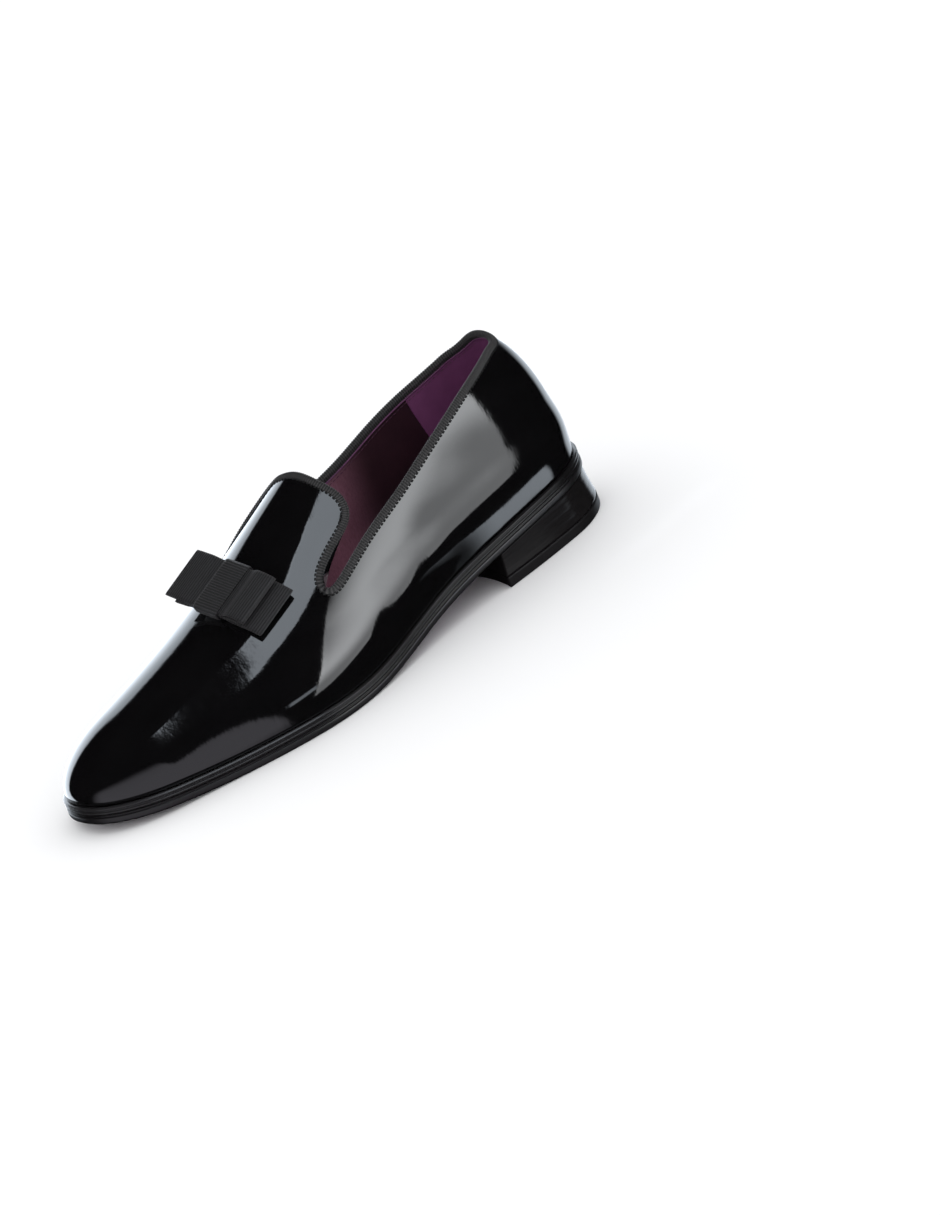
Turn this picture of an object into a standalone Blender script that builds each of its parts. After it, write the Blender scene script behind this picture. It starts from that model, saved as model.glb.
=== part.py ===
"""Evening slip-on loafer, left foot: hollow upper, ribbed sole, heel and ribbon bow.

Metres, +Z up. The toe points to -Y and the outer (lateral) side of the foot to +X.
Sizes are in millimetres and become metres where a mesh is made.
"""
import math
from collections import namedtuple

import bpy
import numpy as np

MM = 0.001

# Driving dimensions, millimetres
STATION = 27.3
CLEARANCE = 0.3
UPPER_GAP = 0.7
WALL = 2.0
UPPER_INSET = 1.8
HEEL_ROUND = 34.0
TOE_ROUND = 38.0
SIDE_BULGE = 0.8
BULGE_HEIGHT = 30.0
OUTSOLE_THICKNESS = 4.2
MIDSOLE_THICKNESS = 3.4
INSOLE_THICKNESS = 2.5
INSOLE_GAP = 2.0
BREAST_ALONG = 81.0
BREAST_CURVE = 6.0
HEEL_SEAT_INSET = 1.0
HEEL_FLARE = 1.0
HEEL_EASE = 0.6
TOP_PIECE = 5.0
BINDING_HEIGHT = 3.2
BINDING_STAND = 0.5
BINDING_GAP = 1.8
BOW_ALONG = 194.5
BOW_SHIFT = 6.5
BOW_SPAN = 8.0
BOW_LIFT = 1.0
RIBBON = 25.0
RIBBON_THICKNESS = 0.6
PINCH = 0.45
LOOP_ROLL = 7.0
BAND_WIDTH = 15.0
BAND_CLEAR = 1.4
BAND_EDGE = 1.6

# Shape numbers: degrees, slopes and the powers of the rounded curves
BOW_TILT = 14.0
LOOP_BLUNT = 0.8
LOOP_TAPER = 0.15
BREAST_SKEW = 0.085
ROUND_POWER = 2.2
TOE_POWER = 2.5
BAND_SQUARE = 0.25
LINE_EASE = 2.5
SPRING_START = 0.5

# How finely the curves are divided
FINE = 1500
SOLE_POINTS = 80
HEEL_POINTS = 64
UPPER_LINES = 80
UPPER_ROWS = 17
BINDING_ROWS = 3
LINE_POINTS = 160
BOW_POINTS = 56

# One row for each section of the last, STATION apart from the heel's back to the toe.
# half: half width of the sole; centre: its middle, towards the lateral side; rise: sole above the floor;
# crown: ridge of the upper above the sole; ridge: how far the ridge leans to the medial side;
# steep: how upright the walls stand
SECTION_COLUMNS = ("half", "centre", "rise", "crown", "ridge", "steep")
SECTIONS = (
    (28.5, -3.5, 21.5, 66.0, 0.0, 2.5),
    (31.5, -1.5, 20.0, 73.0, 0.0, 2.6),
    (34.0, 0.8, 18.0, 86.0, 0.0, 2.8),
    (34.5, 2.8, 15.3, 90.0, 3.0, 2.8),
    (34.0, 4.3, 11.0, 83.0, 7.0, 2.7),
    (38.0, 6.0, 5.2, 75.0, 9.0, 2.7),
    (47.0, 4.3, 0.0, 66.0, 8.0, 2.4),
    (53.0, 1.8, 0.0, 52.0, 3.0, 1.9),
    (49.0, 0.3, 0.0, 42.5, 0.0, 1.9),
    (41.5, -0.8, 0.0, 34.5, 0.0, 2.0),
    (34.0, -1.5, 2.2, 25.5, 0.0, 2.1),
    (29.5, -1.5, 5.5, 13.0, 0.0, 2.2),
)
LENGTH = STATION * (len(SECTIONS) - 1)

# One row for each line from the sole up to the top edge, from the heel's back to the toe.
# feather: where the line leaves the sole; along, height: where it meets the top edge on the lateral side;
# inner_along, inner_height: the same on the medial side (0 height: on the ridge); spring: how far the
# medial edge stands off the last
TopRow = namedtuple("TopRow", "feather along height inner_along inner_height spring")
TOPLINE = (
    TopRow(0.0, 20.0, 0.0, 20.0, 0.0, 0.0),
    TopRow(6.0, 22.0, 93.0, 22.0, 89.0, 0.0),
    TopRow(25.0, 31.0, 94.0, 31.0, 88.0, 0.0),
    TopRow(50.0, 50.0, 88.0, 50.0, 82.5, 0.0),
    TopRow(77.0, 77.0, 78.5, 77.0, 77.0, 0.0),
    TopRow(104.0, 104.0, 71.0, 104.0, 73.0, 0.0),
    TopRow(130.0, 130.0, 62.0, 130.0, 70.0, 0.0),
    TopRow(148.0, 151.5, 53.2, 152.0, 55.0, 0.0),
    TopRow(159.0, 163.5, 48.5, 166.0, 49.0, 0.0),
    TopRow(171.0, 166.5, 50.5, 174.0, 49.5, 0.0),
    TopRow(184.0, 163.5, 55.5, 174.0, 57.0, 0.0),
    TopRow(200.0, 150.0, 62.0, 164.0, 69.0, 1.2),
    TopRow(222.0, 134.0, 68.0, 146.0, 78.0, 2.0),
    TopRow(248.0, 132.0, 78.0, 139.0, 84.0, 1.0),
    TopRow(275.0, 136.0, 84.0, 138.5, 87.0, 0.0),
    TopRow(LENGTH, 137.0, 0.0, 137.0, 0.0, 0.0),
)
# Which way the medial edge springs: lateral, along, up
SPRING_WAY = (-0.6, 0.0, 0.8)

# One row for each folded ribbon of the bow. level: its height above the vamp at the band; bottom: how far
# its lower run opens below that; then for each side its reach, how far its end hangs, and how far its
# upper run opens
Loop = namedtuple("Loop", "name level bottom lateral lateral_drop lateral_top medial medial_drop medial_top")
LOOPS = (
    Loop("bow_long_loop", 1.9, 1.7, 31.0, 3.6, 1.0, 23.0, 1.8, 0.5),
    Loop("bow_short_loop", 3.7, 0.45, 24.0, -0.4, 3.6, 26.5, -0.4, 1.7),
)

# Edge of each layer under the foot from its underside up: share of its thickness, millimetres of inset
OUTSOLE_EDGE = ((0.0, 0.7), (0.12, 0.0), (0.7, 0.0), (0.78, 0.9), (0.9, 0.9), (1.0, 0.3))
MIDSOLE_EDGE = ((0.0, 0.4), (0.3, 0.1), (0.42, 0.9), (0.55, 0.9), (0.68, 0.2), (1.0, 0.6))
INSOLE_EDGE = ((0.0, 0.0), (0.8, 0.0), (1.0, 0.5))

PATENT = dict(colour=(0.006, 0.006, 0.007), roughness=0.06)
RIBBON_BLACK = dict(colour=(0.012, 0.012, 0.013), roughness=0.75)
EDGE_BLACK = dict(colour=(0.012, 0.011, 0.011), roughness=0.4)
PURPLE_SOLE = dict(colour=(0.085, 0.022, 0.09), roughness=0.45)
PURPLE_LINING = dict(colour=(0.07, 0.015, 0.06), roughness=0.7)


def cubic_blend(controls, position):
    """Uniform cubic B-spline through rows of numbers; position counts rows from 0."""
    start = np.clip(np.floor(position).astype(int), 0, len(controls) - 4)
    f = (position - start)[:, None]
    weights = ((1 - f) ** 3, 3 * f**3 - 6 * f**2 + 4, -3 * f**3 + 3 * f**2 + 3 * f + 1, f**3)
    return sum(weight * controls[start + k] for k, weight in enumerate(weights)) / 6


def section(along):
    """The section table's columns at any distance from the heel's back, as a dictionary."""
    along = np.atleast_1d(np.asarray(along, float))
    rows = np.array(SECTIONS)
    controls = np.vstack([2 * rows[0] - rows[1], rows, 2 * rows[-1] - rows[-2]])
    values = cubic_blend(controls, np.clip(along, 0, LENGTH) / STATION)
    return dict(zip(SECTION_COLUMNS, values.T))


def end_closing(along, inset):
    """0 along the shoe, growing to 1 at the very back and the very toe, where the outline closes."""
    heel = np.clip((HEEL_ROUND - along) / (HEEL_ROUND - inset), 0, 1) ** ROUND_POWER
    toe = np.clip((along - LENGTH + TOE_ROUND) / (TOE_ROUND - inset), 0, 1) ** TOE_POWER
    return heel + toe


def run_length(points):
    """How far each point of a line lies from its start, measured along the line."""
    return np.concatenate([[0], np.cumsum(np.linalg.norm(np.diff(points, axis=0), axis=1))])


def along_run(points, length, wanted):
    """Points at wanted distances along a line."""
    return np.column_stack([np.interp(wanted, length, column) for column in points.T])


def outline(inset, count):
    """Closed plan outline (lateral, along) from the heel's back round by the lateral side, evenly spaced."""
    turn = np.linspace(0, math.pi, FINE)
    along = inset + (LENGTH - 2 * inset) * (1 - np.cos(turn)) / 2
    form = section(along)
    half = (form["half"] - inset) * np.maximum(1 - end_closing(along, inset), 0) ** (1 / ROUND_POWER)
    lateral = np.column_stack([form["centre"] + half, along])
    medial = np.column_stack([form["centre"] - half, along])
    loop = np.vstack([lateral, medial[-2:0:-1]])
    closed = np.vstack([loop, loop[:1]])
    length = run_length(closed)
    return along_run(closed, length, np.linspace(0, length[-1], count, endpoint=False))


def sole_top(along):
    return section(along)["rise"] + OUTSOLE_THICKNESS + CLEARANCE + MIDSOLE_THICKNESS + UPPER_GAP


def upper_height(across, along):
    """Height of the upper's outer face above the floor at a point of the plan."""
    form = section(along)
    half = form["half"] - UPPER_INSET
    straight = np.clip((across - form["centre"]) / half, -1, 1)
    share = np.abs(straight + form["ridge"] / half * (1 - straight**2))
    inside = np.clip(1 - end_closing(along, UPPER_INSET) - share**ROUND_POWER, 0, 1)
    return sole_top(along) + form["crown"] * inside ** (1 / form["steep"])


def ridge_across(along):
    """The ridge of the upper in plan, where its section is highest."""
    form = section(along)
    half, lean = float(form["half"][0]) - UPPER_INSET, float(form["ridge"][0])
    share = (half - math.sqrt(half**2 + 4 * lean**2)) / (2 * lean) if lean else 0.0
    return float(form["centre"][0]) + share * half


def across_at(along, height, side):
    """Where the upper's wall on one side stands at a given height, found by halving."""
    low = ridge_across(along)
    high = float(section(along)["centre"][0] + side * section(along)["half"][0])
    for _ in range(40):
        middle = (low + high) / 2
        if upper_height(np.array([middle]), np.array([along]))[0] > height:
            low = middle
        else:
            high = middle
    return low


def feather_and_topline(count):
    """Matching points of the sole line and the top edge, round the shoe from the heel's back."""
    base = outline(UPPER_INSET, FINE)
    base = np.vstack([base, base[:1]])
    travelled = run_length(base)
    toe = int(np.argmax(base[:, 1]))
    controls = []
    for row in TOPLINE:
        place = np.interp(row.feather, base[: toe + 1, 1], travelled[: toe + 1])
        across = across_at(row.along, row.height, 1) if row.height else ridge_across(row.along)
        controls.append((place, across, row.along, 0.0))
    for row in TOPLINE[-2:0:-1]:
        place = np.interp(-row.feather, -base[toe:, 1], travelled[toe:])
        across = across_at(row.inner_along, row.inner_height, -1)
        controls.append((place, across, row.inner_along, row.spring))
    controls = np.array(controls)
    lap = np.array([travelled[-1], 0, 0, 0])
    wrapped = np.vstack([controls[-1:] - lap, controls, controls[:2] + lap])
    line = cubic_blend(wrapped, np.linspace(0, len(controls), count, endpoint=False))
    return along_run(base, travelled, line[:, 0] % travelled[-1]), line[:, 1:3], line[:, 3]


def upper_lines(count, samples):
    """Lines up the outer face of the upper from sole to top edge, shape (count, samples, 3)."""
    feather, top, spring = feather_and_topline(count)
    ease = np.linspace(0, 1, samples) ** LINE_EASE
    plan = feather[:, None, :] + (top - feather)[:, None, :] * ease[None, :, None]
    across, along = plan[..., 0].ravel(), plan[..., 1].ravel()
    height = upper_height(across, along)
    lift = np.clip((height - sole_top(along)) / BULGE_HEIGHT, 0, 1)
    swell = SIDE_BULGE * np.sin(math.pi * lift) ** 2
    tangent = np.roll(feather, -1, axis=0) - np.roll(feather, 1, axis=0)
    outward = np.column_stack([-tangent[:, 1], tangent[:, 0]])
    outward /= np.linalg.norm(outward, axis=1)[:, None]
    outward *= np.sign(np.sum(outward * (feather - feather.mean(axis=0))))
    push = np.repeat(outward, samples, axis=0) * swell[:, None]
    points = np.column_stack([across + push[:, 0], along + push[:, 1], height]).reshape(count, samples, 3)
    loose = np.clip((ease - SPRING_START) / (1 - SPRING_START), 0, 1) ** 2
    return points + spring[:, None, None] * loose[None, :, None] * np.array(SPRING_WAY)


def reach_edge(lines, edge, width):
    """How far up each line runs before it comes within a width of the top edge."""
    reached = []
    for line in lines:
        gap = np.min(np.linalg.norm(line[:, None] - edge[None], axis=2), axis=1)
        last = np.nonzero(gap > width)[0][-1]
        share = (gap[last] - width) / (gap[last] - gap[last + 1])
        length = run_length(line)
        reached.append(length[last] + share * (length[last + 1] - length[last]))
    return np.array(reached)


def resample(lines, starts, stops, rows):
    """Evenly spaced points along each line between two lengths."""
    result = np.empty((len(lines), rows, 3))
    for line, start, stop, place in zip(lines, starts, stops, result):
        place[:] = along_run(line, run_length(line), np.linspace(start, stop, rows))
    return result


def to_frame(points):
    """From (lateral, along, height) in millimetres to metres, toe towards -Y."""
    points = np.asarray(points, float)
    y = (LENGTH - HEEL_FLARE) / 2 - points[..., 1]
    return np.stack([points[..., 0] - MIDDLE, y, points[..., 2]], axis=-1) * MM


def material(name, colour, roughness):
    made = bpy.data.materials.new(name)
    made.use_nodes = True
    shader = made.node_tree.nodes["Principled BSDF"]
    shader.inputs["Base Color"].default_value = (*colour, 1.0)
    shader.inputs["Roughness"].default_value = roughness
    shader.inputs["Metallic"].default_value = 0.0
    return made


def add_object(name, points, faces, finish):
    mesh = bpy.data.meshes.new(name)
    mesh.from_pydata(to_frame(points).tolist(), [], faces)
    mesh.materials.append(material(name + "_finish", **finish))
    mesh.shade_smooth()
    made = bpy.data.objects.new(name, mesh)
    parts.objects.link(made)
    return made


def sheet(name, grid, thickness, shift, finish):
    """A sheet closed in its first direction, thickened by Solidify; shift -1 goes inwards, 1 outwards."""
    columns, rows, _ = grid.shape
    faces = []
    for i in range(columns):
        j = (i + 1) % columns
        for k in range(rows - 1):
            faces.append((i * rows + k + 1, j * rows + k + 1, j * rows + k, i * rows + k))
    made = add_object(name, grid.reshape(-1, 3), faces, finish)
    solidify = made.modifiers.new("wall", "SOLIDIFY")
    solidify.thickness = thickness * MM
    solidify.offset = shift
    solidify.use_quality_normals = True
    return made


def stack(name, rings, finish):
    """A plate lofted through closed rings from its underside up; each end is a ladder of strips."""
    count = len(rings[0])
    faces = []
    for level in range(len(rings) - 1):
        low, high = level * count, (level + 1) * count
        for i in range(count):
            j = (i + 1) % count
            faces.append((low + j, low + i, high + i, high + j))
    for start, upwards in ((0, False), ((len(rings) - 1) * count, True)):
        for i in range(count // 2):
            strip = [start + i, start + i + 1, start + (count - i - 1) % count, start + (count - i) % count]
            strip = list(dict.fromkeys(strip))
            faces.append(tuple(strip[::-1] if upwards else strip))
    return add_object(name, np.vstack(rings), faces, finish)


def ring(plan, height):
    return np.column_stack([plan, height])


def sole_layer(name, base, thickness, edge, inset, finish):
    """A layer of the sole: the outline at each level of its edge, following the shank and toe spring."""
    rings = []
    for share, step in edge:
        plan = outline(inset + step, SOLE_POINTS)
        rings.append(ring(plan, section(plan[:, 1])["rise"] + base + share * thickness))
    return stack(name, rings, finish)


def breast_along(across):
    """The heel's front face: square to the heel's own axis and hollowed in the middle."""
    form = section(BREAST_ALONG)
    share = (across - form["centre"][0]) / form["half"][0]
    return BREAST_ALONG - BREAST_CURVE * (1 - share**2) - BREAST_SKEW * (across - form["centre"][0])


def heel_plan(inset):
    """Outline of the heel in plan: the sole's outline behind the breast, then across the breast."""
    loop = outline(inset, FINE)
    front = loop[:, 1] > breast_along(loop[:, 0]) - inset
    first, last = np.argmax(front), len(front) - np.argmax(front[::-1])
    around = np.vstack([loop[last:], loop[:first]])
    across = np.linspace(around[-1, 0], around[0, 0], HEEL_POINTS)[1:-1]
    breast = np.column_stack([across, breast_along(across) - inset])
    closed = np.vstack([around, breast, around[:1]])
    length = run_length(closed)
    corner = length[len(around) - 1]
    breast_steps = HEEL_POINTS // 4
    back = np.linspace(0, corner, HEEL_POINTS - breast_steps, endpoint=False)
    front = np.linspace(corner, length[-1], breast_steps, endpoint=False)
    return along_run(closed, length, np.concatenate([back, front]))


def build_heel():
    """The wearing piece under the heel, its lower corner eased, and the block that narrows up to the seat."""
    eased, low, high = heel_plan(HEEL_EASE - HEEL_FLARE), heel_plan(-HEEL_FLARE), heel_plan(HEEL_SEAT_INSET)
    floor = np.zeros(HEEL_POINTS)
    worn = [ring(eased, floor), ring(low, floor + HEEL_EASE), ring(low, floor + TOP_PIECE)]
    stack("heel_top_piece", worn, EDGE_BLACK)
    seat = section(high[:, 1])["rise"] - CLEARANCE
    stack("heel_block", [ring(low, floor + TOP_PIECE + CLEARANCE), ring(high, seat)], EDGE_BLACK)


def bow_frame():
    """Middle of the bow on the vamp with its axes: across, up the vamp, and away from it."""
    along = np.array([BOW_ALONG - BOW_SPAN, BOW_ALONG, BOW_ALONG + BOW_SPAN])
    place = ridge_across(BOW_ALONG) + BOW_SHIFT
    height = upper_height(np.full(3, place), along)
    up = np.array([0.0, along[0] - along[2], height[0] - height[2]])
    up /= np.linalg.norm(up)
    tilt = math.radians(BOW_TILT)
    level = np.array([1.0, 0.0, 0.0])
    across = level * math.cos(tilt) - np.cross(up, level) * math.sin(tilt)
    return np.array([place, BOW_ALONG, height[1] + BOW_LIFT]), across, up, np.cross(up, across)


def place_on_vamp(side, climb, level):
    """Points given across the bow, up the vamp and away from it, in the shoe's own sizes."""
    middle, across, up, away = bow_frame()
    return middle + side[..., None] * across + climb[..., None] * up + level[..., None] * away


def loop_path(loop, count):
    """One folded ribbon seen from its edge, as side and level: pinched under the band, open beyond it."""
    turn = np.linspace(0, 2 * math.pi, count, endpoint=False)
    outer, over = np.cos(turn), np.sin(turn)
    to_lateral = outer > 0
    reach = np.where(to_lateral, loop.lateral, loop.medial)
    side = reach * outer
    held = BAND_WIDTH / 2 + BAND_EDGE
    free = np.maximum(np.abs(side) - held, 0) / (reach - held)
    hang = np.where(to_lateral, loop.lateral_drop, loop.medial_drop) * free**2
    rolled = np.clip(free * (reach - held) / LOOP_ROLL, 0, 1)
    rolled = rolled**2 * (3 - 2 * rolled) * (1 - LOOP_TAPER * free)
    top = PINCH + (np.where(to_lateral, loop.lateral_top, loop.medial_top) - PINCH) * rolled
    bottom = PINCH + (loop.bottom - PINCH) * rolled
    blunt = np.sign(over) * np.abs(over) ** LOOP_BLUNT
    return side, loop.level - hang + blunt * np.where(over > 0, top, bottom)


def build_bow():
    """Two flat loops of ribbon, one on the other, and the band that holds them."""
    climb = np.linspace(-RIBBON / 2, RIBBON / 2, 3)
    for loop in LOOPS:
        side, level = loop_path(loop, BOW_POINTS)
        path = np.broadcast_arrays(side[:, None], climb[None, :], level[:, None])
        sheet(loop.name, place_on_vamp(*path), RIBBON_THICKNESS, 0, RIBBON_BLACK)
    reach = RIBBON / 2 + CLEARANCE + RIBBON_THICKNESS
    low, high = LOOPS[0].level - BAND_CLEAR, LOOPS[1].level + BAND_CLEAR
    turn = np.linspace(0, 2 * math.pi, BOW_POINTS, endpoint=False)
    square = np.column_stack([np.cos(turn), np.sin(turn)])
    square = np.sign(square) * np.abs(square) ** BAND_SQUARE
    level = (low + high) / 2 + square[:, 1] * (high - low) / 2
    side = np.linspace(-BAND_WIDTH / 2, BAND_WIDTH / 2, 3)
    path = np.broadcast_arrays(side[None, :], square[:, :1] * reach, level[:, None])
    sheet("bow_band", place_on_vamp(*path), RIBBON_THICKNESS, 0, RIBBON_BLACK)


plan_width = outline(0.0, FINE)[:, 0]
MIDDLE = (plan_width.max() + plan_width.min()) / 2

for old in list(bpy.data.objects):
    bpy.data.objects.remove(old, do_unlink=True)
parts = bpy.data.collections.new("loafer")
bpy.context.scene.collection.children.link(parts)

midsole_base = OUTSOLE_THICKNESS + CLEARANCE
insole_base = midsole_base + MIDSOLE_THICKNESS + CLEARANCE
sole_layer("outsole", 0.0, OUTSOLE_THICKNESS, OUTSOLE_EDGE, 0.0, PURPLE_SOLE)
sole_layer("midsole", midsole_base, MIDSOLE_THICKNESS, MIDSOLE_EDGE, 0.0, EDGE_BLACK)
insole_inset = UPPER_INSET + WALL + INSOLE_GAP
sole_layer("insole", insole_base, INSOLE_THICKNESS, INSOLE_EDGE, insole_inset, PURPLE_LINING)
build_heel()

lines = upper_lines(UPPER_LINES, LINE_POINTS)
top_edge = upper_lines(FINE // 4, LINE_POINTS)[:, -1]
full = np.array([run_length(line)[-1] for line in lines])
upper_stop = reach_edge(lines, top_edge, BINDING_HEIGHT + BINDING_GAP)
binding_start = reach_edge(lines, top_edge, BINDING_HEIGHT)
sheet("upper", resample(lines, 0 * full, upper_stop, UPPER_ROWS), WALL, -1, PATENT)
folded = WALL + 2 * BINDING_STAND
stand = 2 * BINDING_STAND / folded - 1
sheet("topline_binding", resample(lines, binding_start, full, BINDING_ROWS), folded, stand, RIBBON_BLACK)
build_bow()
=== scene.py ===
# %% [markdown]
# # A black evening loafer with a ribbon bow
# The shoe's plain solids are already made and packed. This lesson loads them as a fixed frame, sets up
# a camera and a small studio, and then dresses the shoe piece by piece: patent leather, ribbed ribbon,
# a stitched top edge, a purple lining and a painted leather sole. Each piece is made from the same
# section table as its solid, only with many more points.

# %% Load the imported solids
import math
from collections import namedtuple

import bpy
import numpy as np
from mathutils import Matrix, Vector
from mathutils.bvhtree import BVHTree


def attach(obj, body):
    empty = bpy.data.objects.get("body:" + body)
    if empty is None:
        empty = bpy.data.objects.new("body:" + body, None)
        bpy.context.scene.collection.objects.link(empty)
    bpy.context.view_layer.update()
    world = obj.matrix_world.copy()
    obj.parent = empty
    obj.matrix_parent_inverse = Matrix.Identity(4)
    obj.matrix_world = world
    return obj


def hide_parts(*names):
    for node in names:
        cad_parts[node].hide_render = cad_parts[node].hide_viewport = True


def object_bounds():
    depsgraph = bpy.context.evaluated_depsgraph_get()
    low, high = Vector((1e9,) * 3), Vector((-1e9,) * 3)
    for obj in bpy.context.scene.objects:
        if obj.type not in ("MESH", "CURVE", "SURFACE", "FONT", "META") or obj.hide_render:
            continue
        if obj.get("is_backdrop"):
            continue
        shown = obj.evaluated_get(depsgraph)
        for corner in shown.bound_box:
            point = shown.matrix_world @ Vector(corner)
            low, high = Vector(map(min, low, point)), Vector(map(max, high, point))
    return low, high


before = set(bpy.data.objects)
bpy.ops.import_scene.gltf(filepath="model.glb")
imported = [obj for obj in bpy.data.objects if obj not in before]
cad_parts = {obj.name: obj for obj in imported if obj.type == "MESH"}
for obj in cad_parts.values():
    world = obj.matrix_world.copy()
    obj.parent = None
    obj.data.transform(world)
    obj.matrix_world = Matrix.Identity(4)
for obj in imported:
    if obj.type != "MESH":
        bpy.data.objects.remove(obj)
cad_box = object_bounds()
print("solids:", ", ".join(sorted(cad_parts)))

# %% [markdown]
# ## Camera
# The shoe was photographed from its outer side, a little above, with a long lens, and the picture was
# turned so that the heel rides up to the right. A camera can be aimed with a constraint, but a
# constraint can't roll, so the three axes of the camera are worked out here and put into its matrix.

# %% Camera at the photograph's angle
MM = 0.001
IMAGE_HEIGHT = 1215
FOCAL_PIXELS = 4500
SENSOR = 36.0
EYE = Vector((1655.6, -870.5, 746.3))
AIM = Vector((42.5, 43.2, 6.5))
ROLL = math.radians(-22.53)

back = (EYE - AIM).normalized()
level_right = Vector((-back.y, back.x, 0)).normalized()
level_up = back.cross(level_right)
right = level_right * math.cos(ROLL) + level_up * math.sin(ROLL)
turned = Matrix((right, back.cross(right), back)).transposed().to_4x4()
lens = bpy.data.cameras.new("camera")
lens.sensor_width = SENSOR
lens.lens = FOCAL_PIXELS * SENSOR / IMAGE_HEIGHT
camera = bpy.data.objects.new("camera", lens)
camera.matrix_world = Matrix.Translation(EYE * MM) @ turned
bpy.context.scene.collection.objects.link(camera)
bpy.context.scene.camera = camera
print("lens", round(lens.lens, 1), "mm")

# %% [markdown]
# ## Studio
# Patent leather is a black mirror: it shows nothing but what stands round it. The floor and the shoe's
# dull pieces are lit by an even white sky, which is kept out of reflections. What the leather reflects
# is set up apart, once finishes can be made.

# %% Even light
SKY_STRENGTH = 1.12

scene = bpy.context.scene
scene.view_settings.view_transform = "Standard"

world = bpy.data.worlds.new("studio")
world.use_nodes = True
sky = world.node_tree.nodes["Background"].inputs
sky["Color"].default_value = (1.0, 1.0, 1.0, 1.0)
sky["Strength"].default_value = SKY_STRENGTH
world.cycles_visibility.glossy = False
scene.world = world
print("even sky set")

# %% [markdown]
# ## Finishes as sums
# A finish is a small program over the surface. Blender draws it as boxes and wires; here a wire is
# wrapped in a class, so that adding or multiplying two wires adds the Math node that does it, and every
# other node is made by one method.

# %% A wire that can be added and multiplied
class Wire:
    """One output of a shader node, used like a number."""

    def __init__(self, finish, socket):
        self.finish = finish
        self.socket = socket

    def math(self, operation, first, second=0.0):
        return self.finish.node("ShaderNodeMath", {"operation": operation}, {0: first, 1: second})

    def __add__(self, other):
        return self.math("ADD", self, other)

    __radd__ = __add__

    def __sub__(self, other):
        return self.math("SUBTRACT", self, other)

    def __rsub__(self, other):
        return self.math("SUBTRACT", other, self)

    def __mul__(self, other):
        return self.math("MULTIPLY", self, other)

    __rmul__ = __mul__

    def __pow__(self, other):
        return self.math("POWER", self, other)

    def wave(self, pitch):
        """A smooth wave from 0 to 1 that repeats every pitch."""
        return 0.5 + 0.5 * self.math("COSINE", self * (2 * math.pi / pitch))

    def between(self, low, high):
        """0 below the low value, 1 above the high one, and a smooth step between them."""
        return self.finish.node(
            "ShaderNodeMapRange", {"interpolation_type": "SMOOTHSTEP"},
            {"Value": self, "From Min": low, "From Max": high})


print("wires ready")


# %% A finish round one shader
class Finish:
    """A material being put together round one Principled shader."""

    def __init__(self, name):
        self.material = bpy.data.materials.new(name)
        self.material.use_nodes = True
        self.tree = self.material.node_tree
        self.shader = self.tree.nodes["Principled BSDF"]

    def feed(self, socket, value):
        if isinstance(value, Wire):
            self.tree.links.new(value.socket, socket)
        else:
            socket.default_value = value

    def node(self, kind, settings=None, sockets=None, output=0):
        made = self.tree.nodes.new(kind)
        for key, value in (settings or {}).items():
            setattr(made, key, value)
        for key, value in (sockets or {}).items():
            self.feed(made.inputs[key], value)
        return Wire(self, made.outputs[output])

    def surface(self, values):
        for key, value in values.items():
            self.feed(self.shader.inputs[key], value)
        return self.material

    def blended(self, factor, values):
        """Lay a second, plain surface over the first where the factor is one."""
        first = Wire(self, self.shader.outputs[0])
        second = self.node("ShaderNodeBsdfPrincipled", {}, values)
        mixed = self.node("ShaderNodeMixShader", {}, {0: factor, 1: first, 2: second})
        self.feed(self.tree.nodes["Material Output"].inputs["Surface"], mixed)
        return self.material

    def colour_mix(self, factor, first, second):
        """Two colours mixed by a factor; a Mix node takes them in sockets 6 and 7 and gives output 2."""
        first, second = [(*side, 1.0) if isinstance(side, tuple) else side for side in (first, second)]
        sockets = {0: factor, 6: first, 7: second}
        return self.node("ShaderNodeMix", {"data_type": "RGBA"}, sockets, output=2)

    def noise(self, grain, detail=2.0, stretch=(1.0, 1.0, 1.0), rough=0.5):
        """Cloudy noise whose blotches are about grain millimetres across, times stretch on each axis."""
        place = self.node("ShaderNodeTexCoord", output="Object")
        scale = tuple(1 / (grain * MM * share) for share in stretch)
        place = self.node("ShaderNodeVectorMath", {"operation": "MULTIPLY"}, {0: place, 1: scale})
        sockets = {"Vector": place, "Scale": 1.0, "Detail": detail, "Roughness": rough}
        return self.node("ShaderNodeTexNoise", {}, sockets)

    def part(self, vector, axis):
        return self.node("ShaderNodeSeparateXYZ", {}, {0: vector}, output=axis)

    def place(self, axis):
        """Where a point lies on one axis of the shoe's frame, in metres."""
        return self.part(self.node("ShaderNodeTexCoord", output="Object"), axis)

    def flat_place(self):
        """The two millimetre measures stored on the piece: along it and across it."""
        stored = self.node("ShaderNodeUVMap", {"uv_map": "millimetres"})
        return [self.part(stored, axis) for axis in "XY"]

    def stored(self, name):
        return self.node("ShaderNodeAttribute", {"attribute_name": name}, output="Fac")

    def bump(self, height, depth):
        """A normal from a height between 0 and 1 that stands for depth millimetres."""
        sockets = {"Strength": 1.0, "Distance": depth * MM, "Height": height}
        return self.node("ShaderNodeBump", {}, sockets)


print("finish tools ready")

# %% [markdown]
# ## Floor and reflected cards
# The floor is a wide sheet of white paper. A photographer then stands white cards and softboxes where a
# glossy shoe should shine. Lamps would do, but a glowing sheet can fade towards its edges, as a real
# softbox does, so the reflections end softly where they should. Only reflections see these sheets.

# %% Floor
FLOOR_REACH = 14.0
SQUARE = ((-1, -1, 0), (1, -1, 0), (1, 1, 0), (-1, 1, 0))


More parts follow.
